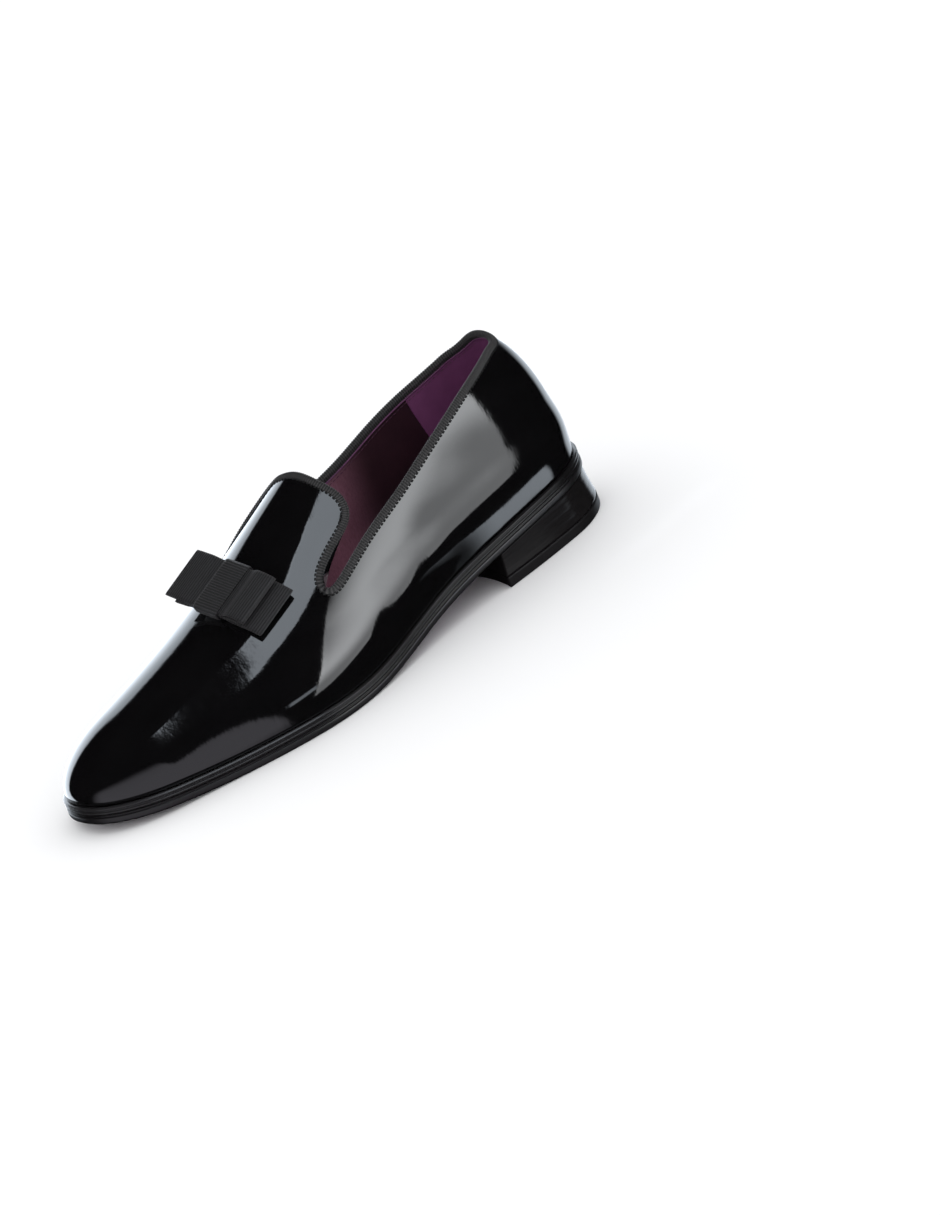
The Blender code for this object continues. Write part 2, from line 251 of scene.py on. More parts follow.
def flat_sheet(name, size):
    """A rectangle in metres, lying flat at the origin, that is not part of the shoe."""
    mesh = bpy.data.meshes.new(name)
    mesh.from_pydata([(x * size[0] / 2, y * size[1] / 2, z) for x, y, z in SQUARE], [], [(0, 1, 2, 3)])
    made = bpy.data.objects.new(name, mesh)
    scene.collection.objects.link(made)
    made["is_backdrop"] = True
    return made


floor = flat_sheet("floor", (2 * FLOOR_REACH, 2 * FLOOR_REACH))
paper = Finish("white paper")
cloud = paper.noise(400.0)
floor.data.materials.append(paper.surface({
    "Base Color": paper.colour_mix(cloud, (0.93, 0.935, 0.95), (0.97, 0.975, 0.985)),
    "Roughness": 0.9,
    "Specular IOR Level": 0.1,
}))
floor.visible_glossy = False
print("floor", 2 * FLOOR_REACH, "m square")


# %% Cards
def towards(azimuth, elevation, distance):
    """A place as seen from the shoe: azimuth 0 is beyond the toe, 90 on the outer side."""
    turn, climb = math.radians(azimuth), math.radians(elevation)
    flat = distance * math.cos(climb)
    return Vector((flat * math.sin(turn), -flat * math.cos(turn), distance * math.sin(climb)))


# place: where the card stands; size: its width and height; shine: its brightness; tint: its colour;
# near, far: soft share of its width at the end of smaller and of larger azimuth; low, high: the same
# for its height; slant: share of its width by which the near end leans over upwards; tuck: the same for
# the far end; dip, fall: shares of its brightness lost towards its foot and its top; rim: extra
# brightness at the near end; lies: turn in degrees of a card that lies flat, None for one that faces
# the shoe
Card = namedtuple("Card", "name place size shine tint near far low high slant tuck dip fall rim lies",
                  defaults=(0.0, 0.0, 0.0, 0.0, 0.0, None))
SHOE = Vector((0.0, 0.0, 0.04))
SKY_BLUE, PALE_BLUE, VIOLET = (0.83, 0.91, 1.0), (0.95, 0.975, 1.0), (0.92, 0.9, 1.0)
RIM_SHARE = 0.1
FOOT, PEAK = 0.12, 0.42
CARDS = (
    Card("side_card", towards(118, 13.5, 1.6), (1.14, 1.6), 4.7, PALE_BLUE, 0.01, 0.03, 0.02, 0.2,
         slant=0.4, dip=0.62, fall=0.85, rim=0.2),
    Card("low_side_card", towards(94.5, -3.5, 1.6), (0.37, 0.14), 1.8, SKY_BLUE, 0.1, 0.02, 0.1, 0.2),
    Card("front_card", towards(36.5, 2, 1.7), (4.9, 2.6), 0.68, VIOLET, 0.3, 0.03, 0.2, 0.3,
         tuck=0.256, fall=0.2),
    Card("overhead_card", Vector((0.65, 0.145, 1.5)), (0.92, 0.6), 2.8, SKY_BLUE, 0.02, 0.02, 0.01, 0.1,
         rim=0.2, lies=-2),
    Card("far_card", towards(-100, 7, 1.8), (4.5, 1.8), 3.0, SKY_BLUE, 0.05, 0.05, 0.02, 0.06,
         tuck=0.46, fall=0.5),
    Card("back_card", towards(-150, -8, 1.8), (1.3, 1.2), 1.1, SKY_BLUE, 0.3, 0.05, 0.02, 0.5),
    Card("heel_floor_card", Vector((0.072, 0.13, 0.0005)), (0.013, 0.1), 2.3, SKY_BLUE, 0.1, 0.1, 0.4, 0.1,
         lies=8),
)


def glowing(card):
    f = Finish(card.name + " glow")
    place = f.node("ShaderNodeTexCoord", output="Generated")
    across, up = [f.part(place, axis) for axis in "XY"]
    leaned = across - card.slant * up
    tucked = across + card.tuck * up
    strength = leaned.between(0.0, card.near) * (1 - tucked.between(1 - card.far, 1.0))
    strength = strength * up.between(0.0, card.low) * (1 - up.between(1 - card.high, 1.0))
    strength = strength * (1 - card.dip + card.dip * up.between(FOOT, PEAK))
    strength = strength * (1 - card.fall * up.between(PEAK, 1.0))
    strength = strength * (1 - card.rim / (1 + card.rim) * leaned.between(0.0, RIM_SHARE))
    return f.surface({
        "Base Color": (0.0, 0.0, 0.0, 1.0),
        "Specular IOR Level": 0.0,
        "Emission Color": f.colour_mix(strength, (0.0, 0.0, 0.0), card.tint),
        "Emission Strength": card.shine * (1 + card.rim),
    })


for card in CARDS:
    made = flat_sheet(card.name, card.size)
    made.data.materials.append(glowing(card))
    made.location = card.place
    if card.lies is None:
        made.rotation_euler = (SHOE - card.place).to_track_quat("-Z", "Y").to_euler()
    else:
        made.rotation_euler.z = math.radians(card.lies)
    made.visible_camera = made.visible_diffuse = made.visible_shadow = False
print("cards:", ", ".join(card.name for card in CARDS))

# %% [markdown]
# ## The shoe's own shape
# A shoemaker draws a shoe as cross-sections of its last, one every few centimetres from the heel to the
# toe. The same table drives the solids. A smooth curve runs through each column, so any section can be
# asked for.

# %% Section table and its curve
STATION = 27.3
HEEL_ROUND = 34.0
TOE_ROUND = 38.0
ROUND_POWER = 2.2
TOE_POWER = 2.5

# half: half width of the sole; centre: its middle, towards the outer side; rise: sole above the floor;
# crown: ridge of the upper above the sole; ridge: how far the ridge leans inwards; steep: how upright
# the walls are
SECTION_COLUMNS = ("half", "centre", "rise", "crown", "ridge", "steep")
SECTIONS = (
    (28.5, -3.5, 21.5, 66.0, 0.0, 2.5),
    (31.5, -1.5, 20.0, 73.0, 0.0, 2.6),
    (34.0, 0.8, 18.0, 86.0, 0.0, 2.8),
    (34.5, 2.8, 15.3, 90.0, 3.0, 2.8),
    (34.0, 4.3, 11.0, 83.0, 7.0, 2.7),
    (38.0, 6.0, 5.2, 75.0, 9.0, 2.7),
    (47.0, 4.3, 0.0, 66.0, 8.0, 2.4),
    (53.0, 1.8, 0.0, 52.0, 3.0, 1.9),
    (49.0, 0.3, 0.0, 42.5, 0.0, 1.9),
    (41.5, -0.8, 0.0, 34.5, 0.0, 2.0),
    (34.0, -1.5, 2.2, 25.5, 0.0, 2.1),
    (29.5, -1.5, 5.5, 13.0, 0.0, 2.2),
)
LENGTH = STATION * (len(SECTIONS) - 1)


def cubic_blend(controls, position):
    """Uniform cubic B-spline through rows of numbers; position counts rows from 0."""
    start = np.clip(np.floor(position).astype(int), 0, len(controls) - 4)
    f = (position - start)[:, None]
    weights = ((1 - f) ** 3, 3 * f**3 - 6 * f**2 + 4, -3 * f**3 + 3 * f**2 + 3 * f + 1, f**3)
    return sum(weight * controls[start + k] for k, weight in enumerate(weights)) / 6


def section(along):
    """The section table's columns at any distance from the heel's back, as a dictionary."""
    along = np.atleast_1d(np.asarray(along, float))
    rows = np.array(SECTIONS)
    controls = np.vstack([2 * rows[0] - rows[1], rows, 2 * rows[-1] - rows[-2]])
    values = cubic_blend(controls, np.clip(along, 0, LENGTH) / STATION)
    return dict(zip(SECTION_COLUMNS, values.T))


def end_closing(along, inset):
    """0 along the shoe, growing to 1 at the very back and the very toe, where the outline closes."""
    heel = np.clip((HEEL_ROUND - along) / (HEEL_ROUND - inset), 0, 1) ** ROUND_POWER
    toe = np.clip((along - LENGTH + TOE_ROUND) / (TOE_ROUND - inset), 0, 1) ** TOE_POWER
    return heel + toe


print(len(SECTIONS), "sections over", round(LENGTH, 1), "mm")

# %% Lines and the sole's outline
FINE = 6000


def run_length(points):
    """How far each point of a line lies from its start, measured along the line."""
    return np.concatenate([[0], np.cumsum(np.linalg.norm(np.diff(points, axis=0), axis=1))])


def along_run(points, length, wanted):
    """Points at wanted distances along a line."""
    return np.column_stack([np.interp(wanted, length, column) for column in points.T])


def closed_run(loop):
    """A closed line with its first point again at its end, and run lengths by its place columns."""
    closed = np.vstack([loop, loop[:1]])
    return closed, run_length(closed[:, :3])


def spaced(loop, count):
    """A closed line divided evenly into count points."""
    closed, length = closed_run(loop)
    return along_run(closed, length, np.linspace(0, length[-1], count, endpoint=False))


def loop_length(loop):
    return closed_run(loop)[1][-1]


def steps_round(loop):
    """For each point of a closed line, the step from the point before it to the point after."""
    return np.roll(loop, -1, axis=0) - np.roll(loop, 1, axis=0)


def unit(vectors):
    return vectors / np.linalg.norm(vectors, axis=-1, keepdims=True)


def outline(inset, count):
    """Closed plan outline (lateral, along), evenly spaced, from the heel's back by the lateral side."""
    turn = np.linspace(0, math.pi, FINE)
    along = inset + (LENGTH - 2 * inset) * (1 - np.cos(turn)) / 2
    form = section(along)
    half = (form["half"] - inset) * np.maximum(1 - end_closing(along, inset), 0) ** (1 / ROUND_POWER)
    lateral = np.column_stack([form["centre"] + half, along])
    medial = np.column_stack([form["centre"] - half, along])
    return spaced(np.vstack([lateral, medial[-2:0:-1]]), count)


plan_width = outline(0.0, FINE)[:, 0]
MIDDLE = (plan_width.max() + plan_width.min()) / 2
print("sole", round(LENGTH), "by", round(np.ptp(plan_width)), "mm")

# %% [markdown]
# ## Pieces from rings of points
# Nearly every piece here is a grid of points that closes on itself: round the shoe one way and round
# the thickness of the material the other way. One helper turns such a grid into a mesh, stores two
# measures in millimetres for the finish to use, and makes the piece ride on the shoe.

# %% Mesh helpers
HEEL_FLARE = 1.0


def to_frame(points):
    """From (lateral, along, height) in millimetres to metres, toe towards -Y."""
    points = np.asarray(points, float)
    y = (LENGTH - HEEL_FLARE) / 2 - points[..., 1]
    return np.stack([points[..., 0] - MIDDLE, y, points[..., 2]], axis=-1) * MM


def outward(points, faces):
    """The faces, turned round if the closed mesh they make is inside out."""
    first = points[[face[0] for face in faces]]
    volume = 0.0
    for k in (1, 2):
        left = points[[face[k] for face in faces]]
        following = points[[face[k + 1] if len(face) > k + 1 else face[k] for face in faces]]
        volume += np.sum(first * np.cross(left, following))
    return [tuple(face[::-1]) for face in faces] if volume < 0 else faces


def add_piece(name, points, faces, finish, stands_for=(), measures=None, values=None):
    """A closed mesh that rides on the shoe; measures and named values are given for each point."""
    places = to_frame(points)
    faces = outward(places, [tuple(face) for face in faces])
    mesh = bpy.data.meshes.new(name)
    mesh.from_pydata(places.tolist(), [], faces)
    mesh.shade_smooth()
    mesh.materials.append(finish)
    if measures is not None:
        layer = mesh.uv_layers.new(name="millimetres")
        corner = np.concatenate([np.asarray(face) for face in faces])
        layer.data.foreach_set("uv", np.asarray(measures, np.float32)[corner].ravel())
    for key, numbers in (values or {}).items():
        kept = mesh.attributes.new(key, "FLOAT", "POINT")
        kept.data.foreach_set("value", np.asarray(numbers, np.float32))
    made = bpy.data.objects.new(name, mesh)
    scene.collection.objects.link(made)
    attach(made, "root")
    if stands_for:
        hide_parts(*stands_for)
    print(name, len(mesh.vertices), "points", sum(len(face) - 2 for face in faces), "triangles")


def wrapped_faces(columns, rows):
    """Quads of a grid that closes on itself both ways."""
    i, k = np.meshgrid(np.arange(columns), np.arange(rows), indexing="ij")
    j, m = (i + 1) % columns, (k + 1) % rows
    quads = np.stack([i * rows + m, j * rows + m, j * rows + k, i * rows + k], axis=-1)
    return quads.reshape(-1, 4).tolist()


def add_wrapped(name, grid, finish, stands_for=(), measures=None):
    faces = wrapped_faces(*grid.shape[:2])
    measures = None if measures is None else np.asarray(measures).reshape(-1, 2)
    add_piece(name, grid.reshape(-1, 3), faces, finish, stands_for, measures)


def add_stack(name, rings, finish, stands_for=(), values=None):
    """A plate lofted through closed rings; each end is closed by a ladder of strips."""
    count = len(rings[0])
    faces = []
    for level in range(len(rings) - 1):
        low, high = level * count, (level + 1) * count
        for i in range(count):
            j = (i + 1) % count
            faces.append((low + j, low + i, high + i, high + j))
    for start, upwards in ((0, False), ((len(rings) - 1) * count, True)):
        for i in range(count // 2):
            corners = (i, i + 1, (count - i - 1) % count, (count - i) % count)
            strip = list(dict.fromkeys(start + corner for corner in corners))
            faces.append(tuple(strip[::-1] if upwards else strip))
    add_piece(name, np.vstack(rings), faces, finish, stands_for, values=values)


def grid_normals(grid):
    """Outward unit normals of a grid whose columns run round the shoe and whose rows climb it."""
    normals = unit(np.cross(np.gradient(grid, axis=1), steps_round(grid)))
    centre = grid.mean(axis=(0, 1)) * (1, 1, 0)
    outside = np.sum(normals[:, 0] * (grid[:, 0] - centre) * (1, 1, 0)) > 0
    return normals if outside else -normals


print("mesh tools ready")

# %% [markdown]
# ## Black leather edges
# The edges of a leather sole are inked black and burnished with hot wax, which leaves a satin shine
# that is a little uneven. A Principled shader with a soft coat does this; a fine noise roughens it in
# patches.

# %% Burnished edge finish
def burnished_edge():
    f = Finish("burnished black edge")
    patches = f.noise(6.0, 3.0, stretch=(1.0, 3.0, 0.5))
    fibres = f.noise(0.5, 3.0, stretch=(1.0, 6.0, 0.6))
    to_heel = f.place("Y")
    # Towards the toe the base is painted lighter, a painted sheen standing in for the satin light the
    # front edges catch. The waist and heel keep the plain inked black.
    inked_black = f.colour_mix(patches, (0.004, 0.0037, 0.004), (0.011, 0.01, 0.011))
    painted_toe_sheen = f.colour_mix(patches, (0.013, 0.0125, 0.0135), (0.023, 0.022, 0.024))
    return f.surface({
        "Base Color": f.colour_mix(to_heel.between(-0.06, 0.02), painted_toe_sheen, inked_black),
        "Roughness": 0.2 + 0.1 * patches,
        "Coat Weight": 0.35,
        "Coat Roughness": 0.15,
        "Normal": f.bump(fibres, 0.01),
    })


EDGE = burnished_edge()
print(EDGE.name)

# %% [markdown]
# ## Sole
# Two layers make the sole: a welt that the upper is drawn over, and the outsole that walks. Their edges
# are trimmed to ridges and grooves, which are drawn here as short profiles from the underside up and
# swept round the outline. The underside is painted purple inside a black border, so each of its rings
# stores how far in it is.

# %% Sole layers
CLEARANCE = 0.3
OUTSOLE_THICKNESS = 4.2
MIDSOLE_THICKNESS = 3.4
SOLE_POINTS = 520
OUTSOLE_EDGE = ((0.0, 0.7), (0.12, 0.0), (0.7, 0.0), (0.78, 0.9), (0.9, 0.9), (1.0, 0.3))
MIDSOLE_EDGE = ((0.0, 0.7), (0.1, 0.2), (0.3, 0.1), (0.42, 0.9),
                (0.52, 0.9), (0.64, 0.2), (0.84, 0.1), (1.0, 0.9))
FACE_INSETS = (1.6, 2.6, 3.2, 4.2, 7.0, 11.0, 16.0, 22.0)
EDGE_STEPS = 30
BORDER = 2.9
BORDER_SOFT = 0.35


def smooth_edge(rows):
    """An edge profile with its corners rounded, as (share of thickness, inset) pairs."""
    last = len(rows) - 1
    fine = along_run(np.array(rows), np.arange(len(rows)), np.linspace(0, last, 3 * last + 1))
    controls = np.vstack([2 * fine[0] - fine[1], fine, 2 * fine[-1] - fine[-2]])
    return cubic_blend(controls, np.linspace(0, len(fine) - 1, EDGE_STEPS))


def sole_rings(base, thickness, edge, inset):
    """Rings of a layer from the middle of its underside, round its edge, to the middle of its top."""
    profile = smooth_edge(edge)
    below = [(0.0, deep) for deep in FACE_INSETS[::-1]]
    above = [(1.0, deep) for deep in FACE_INSETS]
    rings, depths = [], []
    for share, step in [*below, *profile, *above]:
        plan = outline(inset + step, SOLE_POINTS)
        rings.append(np.column_stack([plan, section(plan[:, 1])["rise"] + base + share * thickness]))
        depths.append(np.full(SOLE_POINTS, step if share == 0.0 else 0.0))
    return rings, np.concatenate(depths)


def inside_border(finish):
    """1 where an underside shows its paint, 0 on the black border round it."""
    return finish.stored("inset").between(BORDER - BORDER_SOFT, BORDER + BORDER_SOFT)


def painted_sole():
    f = Finish("purple painted sole")
    blotch = f.noise(30.0, 4.0, rough=0.6)
    brushed = f.noise(1.2, 3.0, stretch=(1.0, 10.0, 1.0))
    waist = f.place("Y")
    bright = waist.between(-0.05, 0.03) * 0.7 + blotch * 0.45
    purple = f.colour_mix(bright, (0.052, 0.021, 0.047), (0.125, 0.03, 0.118))
    purple = f.colour_mix(brushed * 0.25, purple, (0.04, 0.012, 0.04))
    return f.surface({
        "Base Color": f.colour_mix(inside_border(f), (0.008, 0.007, 0.008), purple),
        "Roughness": 0.3 + 0.14 * blotch,
        "Coat Weight": 0.25,
        "Coat Roughness": 0.25,
        "Normal": f.bump(brushed, 0.03),
    })


rings, depth = sole_rings(0.0, OUTSOLE_THICKNESS, OUTSOLE_EDGE, 0.0)
add_stack("painted_outsole", rings, painted_sole(), ["outsole"], {"inset": depth})
midsole_base = OUTSOLE_THICKNESS + CLEARANCE
rings, _ = sole_rings(midsole_base, MIDSOLE_THICKNESS, MIDSOLE_EDGE, 0.0)
add_stack("ridged_welt", rings, EDGE, ["midsole"])

# %% [markdown]
# ## Heel
# A stacked heel is built from leather lifts, ground to one smooth flaring side and blacked, with a thin
# wearing piece underneath. Its front face, the breast, is hollowed and set a little askew. The block
# leans in towards the seat, so each ring is a blend of the plan at the floor and the plan under the
# sole.

# %% Heel in plan
HEEL_POINTS = 320
BREAST_POINTS = HEEL_POINTS // 4
BREAST_ALONG = 81.0
BREAST_CURVE = 6.0
BREAST_SKEW = 0.085


def breast_along(across):
    """The heel's front face: square to the heel's own axis and hollowed in the middle."""
    form = section(BREAST_ALONG)
    share = (across - form["centre"][0]) / form["half"][0]
    return BREAST_ALONG - BREAST_CURVE * (1 - share**2) - BREAST_SKEW * (across - form["centre"][0])


def heel_plan(inset):
    """Outline of the heel in plan: the sole's outline behind the breast, then across the breast."""
    loop = outline(inset, FINE // 2)
    front = loop[:, 1] > breast_along(loop[:, 0]) - inset
    first, last = np.argmax(front), len(front) - np.argmax(front[::-1])
    around = np.vstack([loop[last:], loop[:first]])
    across = np.linspace(around[-1, 0], around[0, 0], HEEL_POINTS)[1:-1]
    breast = np.column_stack([across, breast_along(across) - inset])
    closed = np.vstack([around, breast, around[:1]])
    length = run_length(closed)
    corner = length[len(around) - 1]
    behind = np.linspace(0, corner, HEEL_POINTS - BREAST_POINTS, endpoint=False)
    ahead = np.linspace(corner, length[-1], BREAST_POINTS, endpoint=False)
    return along_run(closed, length, np.concatenate([behind, ahead]))


print("heel", round(np.ptp(heel_plan(0.0)[:, 1])), "mm long")

# %% Heel finishes
LIFT = 4.2
MATTE_BREAST = {"Base Color": (0.007, 0.0065, 0.007, 1.0), "Roughness": 0.8, "Specular IOR Level": 0.0}


def heel_black():
    f = Finish("blacked heel lifts")
    height = f.place("Z")
    grain = f.noise(1.5, 3.0, stretch=(4.0, 4.0, 0.4))
    layers = (height * (1 / MM)).wave(LIFT) ** 12.0
    back = f.place("Y")
    f.surface({
        "Base Color": f.colour_mix(grain, (0.0045, 0.0042, 0.0045), (0.012, 0.011, 0.0115)),
        "Roughness": 0.12 + 0.04 * grain + 0.04 * layers,
        "Specular IOR Level": 0.04,
        "Coat Weight": 0.9 * back.between(0.112, 0.14),
        "Coat Roughness": 0.08,
        "Normal": f.bump(grain, 0.003),
    })
    return f.blended(f.stored("breast"), MATTE_BREAST)


def heel_rubber():
    f = Finish("heel wearing piece")
    speck = f.noise(0.6, 2.0)
    side = f.colour_mix(speck, (0.006, 0.0055, 0.006), (0.013, 0.012, 0.013))
    f.surface({
        "Base Color": f.colour_mix(inside_border(f), side, (0.07, 0.022, 0.07)),
        "Roughness": 0.34 + 0.12 * speck,
        "Specular IOR Level": 0.15,
        "Normal": f.bump(speck, 0.03),
    })
    return f.blended(f.stored("breast"), MATTE_BREAST)


print("heel finishes ready")

# %% Wearing piece
HEEL_EASE = 0.6
TOP_PIECE = 5.0
TOP_PIECE_CORNER = 0.25
EASE_STEPS = 6
TOP_PIECE_ROWS = 8

ease_turns = np.linspace(0, math.pi / 2, EASE_STEPS)
side_heights = np.linspace(HEEL_EASE, TOP_PIECE - TOP_PIECE_CORNER, TOP_PIECE_ROWS)[1:]
# One row for each ring from the middle of the underside up: inset, height, and how far in it is painted
worn = [(inset, 0.0, inset) for inset in FACE_INSETS[-2::-1]]
worn += [(HEEL_EASE * (1 - math.sin(a)), HEEL_EASE * (1 - math.cos(a)), 0.0) for a in ease_turns]
worn += [(0.0, height, 0.0) for height in side_heights]
worn.append((TOP_PIECE_CORNER, TOP_PIECE, 0.0))
rings = [np.column_stack([heel_plan(inset - HEEL_FLARE), np.full(HEEL_POINTS, height)])
         for inset, height, _ in worn]
deep = [painted for _, _, painted in worn]
on_breast = np.arange(HEEL_POINTS) >= HEEL_POINTS - BREAST_POINTS
on_front = np.concatenate([on_breast & (painted == 0.0) for painted in deep])
add_stack("wearing_piece", rings, heel_rubber(), ["heel_top_piece"],
          {"inset": np.repeat(deep, HEEL_POINTS), "breast": on_front})

# %% Heel lifts
HEEL_SEAT_INSET = 1.0
LIFT_GROOVE = 0.03
HEEL_LEAN = 0.6
HEEL_CORNER = 0.35
HEEL_ROWS = 44

low, high = heel_plan(-HEEL_FLARE), heel_plan(HEEL_SEAT_INSET)
seat = section(high[:, 1])["rise"] - CLEARANCE
lifts = []
for share in np.linspace(0, 1, HEEL_ROWS):
    level = TOP_PIECE + CLEARANCE + (seat - TOP_PIECE - CLEARANCE) * share
    plan = low + (high - low) * ((1 + HEEL_LEAN) * share - HEEL_LEAN * share**2)
    middle = plan.mean(axis=0)
    outer = plan - middle
    groove = LIFT_GROOVE * (0.5 + 0.5 * np.cos(2 * math.pi * level / LIFT)) ** 8
    rounded = HEEL_CORNER * max(0.0, 1 - min(share, 1 - share) * HEEL_ROWS / 2)
    plan = middle + outer * (1 - (groove + rounded) / np.linalg.norm(outer, axis=1))[:, None]
    lifts.append(np.column_stack([plan, level]))
add_stack("heel_lifts", lifts, heel_black(), ["heel_block"],
          {"breast": np.tile(on_breast, HEEL_ROWS)})

# %% [markdown]
# ## The upper's outer face
# A height field over the plan gives the dome of the vamp and the walls of the quarters, and a second
# table says where the top edge runs: down from the heel, round a notch, up over the tongue and back.
# Straight lines in plan from the sole to that edge become the columns of the mesh. A worn-in shoe is
# never quite smooth, so a few soft troughs and ridges are then pressed in where the light in the
# leather bends.

# %% Height of the upper
UPPER_GAP = 0.7
UPPER_INSET = 1.8


def sole_top(along):
    return section(along)["rise"] + OUTSOLE_THICKNESS + CLEARANCE + MIDSOLE_THICKNESS + UPPER_GAP


def upper_height(across, along):
    """Height of the upper's outer face above the floor at a point of the plan."""
    form = section(along)
    half = form["half"] - UPPER_INSET
    straight = np.clip((across - form["centre"]) / half, -1, 1)
    share = np.abs(straight + form["ridge"] / half * (1 - straight**2))
    inside = np.clip(1 - end_closing(along, UPPER_INSET) - share**ROUND_POWER, 0, 1)
    return sole_top(along) + form["crown"] * inside ** (1 / form["steep"])


def ridge_across(along):
    """The ridge of the upper in plan, where its section is highest."""
    form = section(along)
    half, lean = float(form["half"][0]) - UPPER_INSET, float(form["ridge"][0])
    share = (half - math.sqrt(half**2 + 4 * lean**2)) / (2 * lean) if lean else 0.0
    return float(form["centre"][0]) + share * half


def across_at(along, height, side):
    """Where the upper's wall on one side stands at a given height, found by halving."""
    low = ridge_across(along)
    high = float(section(along)["centre"][0] + side * section(along)["half"][0])
    for _ in range(40):
        middle = (low + high) / 2
        if upper_height(np.array([middle]), np.array([along]))[0] > height:
            low = middle
        else:
            high = middle
    return low


print("upper at half length, 50 mm up:", round(across_at(LENGTH / 2, 50.0, 1)), "mm out")

# %% Top edge and the lines up to it
SIDE_BULGE = 0.8
BULGE_HEIGHT = 30.0
LINE_EASE = 2.5
SPRING_START = 0.5

# feather: where the line leaves the sole; along, height: where it meets the top edge on the lateral
# side; inner_along, inner_height: the same on the medial side (0 height: on the ridge); spring: how far
# the medial edge stands off the last
TopRow = namedtuple("TopRow", "feather along height inner_along inner_height spring", defaults=(0.0,))
TOPLINE = [TopRow(*row) for row in (
    (0.0, 20.0, 0.0, 20.0, 0.0),
    (6.0, 22.0, 93.0, 22.0, 89.0),
    (25.0, 31.0, 94.0, 31.0, 88.0),
    (50.0, 50.0, 88.0, 50.0, 82.5),
    (77.0, 77.0, 78.5, 77.0, 77.0),
    (104.0, 104.0, 71.0, 104.0, 73.0),
    (130.0, 130.0, 62.0, 130.0, 70.0),
    (148.0, 151.5, 53.2, 152.0, 55.0),
    (159.0, 163.5, 48.5, 166.0, 49.0),
    (171.0, 166.5, 50.5, 174.0, 49.5),
    (184.0, 163.5, 55.5, 174.0, 57.0),
    (200.0, 150.0, 62.0, 164.0, 69.0, 1.2),
    (222.0, 134.0, 68.0, 146.0, 78.0, 2.0),
    (248.0, 132.0, 78.0, 139.0, 84.0, 1.0),
    (275.0, 136.0, 84.0, 138.5, 87.0),
    (LENGTH, 137.0, 0.0, 137.0, 0.0),
)]
# Which way the medial edge springs: lateral, along, up
SPRING_WAY = (-0.6, 0.0, 0.8)


def feather_and_topline(count):
    """Matching points of the sole line and the top edge, round the shoe from the heel's back."""
    base, travelled = closed_run(outline(UPPER_INSET, FINE))
    toe = int(np.argmax(base[:, 1]))
    controls = []
    for row in TOPLINE:
        place = np.interp(row.feather, base[: toe + 1, 1], travelled[: toe + 1])
        across = across_at(row.along, row.height, 1) if row.height else ridge_across(row.along)
        controls.append((place, across, row.along, 0.0))
    for row in TOPLINE[-2:0:-1]:
        place = np.interp(-row.feather, -base[toe:, 1], travelled[toe:])
        across = across_at(row.inner_along, row.inner_height, -1)
        controls.append((place, across, row.inner_along, row.spring))
    controls = np.array(controls)
    lap = np.array([travelled[-1], 0, 0, 0])
    wrapped = np.vstack([controls[-1:] - lap, controls, controls[:2] + lap])
    line = cubic_blend(wrapped, np.linspace(0, len(controls), count, endpoint=False))
    return along_run(base, travelled, line[:, 0] % travelled[-1]), line[:, 1:3], line[:, 3]


def upper_lines(count, samples):
    """Lines up the outer face of the upper from sole to top edge, shape (count, samples, 3)."""
    feather, top, spring = feather_and_topline(count)
    ease = np.linspace(0, 1, samples) ** LINE_EASE
    plan = feather[:, None, :] + (top - feather)[:, None, :] * ease[None, :, None]
    across, along = plan[..., 0].ravel(), plan[..., 1].ravel()
    height = upper_height(across, along)
    lift = np.clip((height - sole_top(along)) / BULGE_HEIGHT, 0, 1)
    swell = SIDE_BULGE * np.sin(math.pi * lift) ** 2
    tangent = steps_round(feather)
    away = unit(np.column_stack([-tangent[:, 1], tangent[:, 0]]))
    away *= np.sign(np.sum(away * (feather - feather.mean(axis=0))))
    push = np.repeat(away, samples, axis=0) * swell[:, None]
    points = np.column_stack([across + push[:, 0], along + push[:, 1], height])
    points = points.reshape(count, samples, 3)
    loose = np.clip((ease - SPRING_START) / (1 - SPRING_START), 0, 1) ** 2
    return points + spring[:, None, None] * loose[None, :, None] * np.array(SPRING_WAY)


print(len(TOPLINE), "rows of the top edge")

# %% Skin with its creases
UPPER_COLUMNS = 560
UPPER_ROWS = 96
LINE_POINTS = 220
SLOPE_STEP = 0.2


def evenly(line, count):
    """An open line divided evenly into count points, with a point at each end."""
    length = run_length(line)
    return along_run(line, length, np.linspace(0, length[-1], count))


def form_normals(points):
    """Outward normals of the upper's form under points, from its slopes across and along."""
    across, along = points[..., 0].ravel(), points[..., 1].ravel()
    rise_across = upper_height(across + SLOPE_STEP, along) - upper_height(across - SLOPE_STEP, along)
    rise_along = upper_height(across, along + SLOPE_STEP) - upper_height(across, along - SLOPE_STEP)
    normals = np.column_stack([-rise_across, -rise_along, np.full(len(across), 2 * SLOPE_STEP)])
    return unit(normals).reshape(points.shape)


# side: 1 outer, -1 inner; from and to: where the crease starts and ends, along the shoe and above the
# floor; width: how far it spreads; depth: how far it sinks (a ridge where negative)
Crease = namedtuple("Crease", "side from_along from_height to_along to_height width depth")
CREASES = [Crease(*row) for row in (
    (1, 66.0, 62.0, 80.0, 66.0, 11.0, 0.45),
    (1, 96.0, 22.0, 104.0, 46.0, 9.0, 0.35),
    (1, 128.0, 18.0, 122.0, 42.0, 10.0, -0.35),
    (1, 148.0, 18.0, 146.0, 34.0, 9.0, 0.18),
    (1, 163.0, 62.0, 166.0, 60.0, 5.0, 0.22),
    (1, 150.0, 69.0, 153.0, 67.0, 5.0, 0.2),
    (-1, 92.0, 20.0, 102.0, 44.0, 9.0, 0.35),
    (-1, 70.0, 58.0, 84.0, 62.0, 7.0, 0.5),
)]


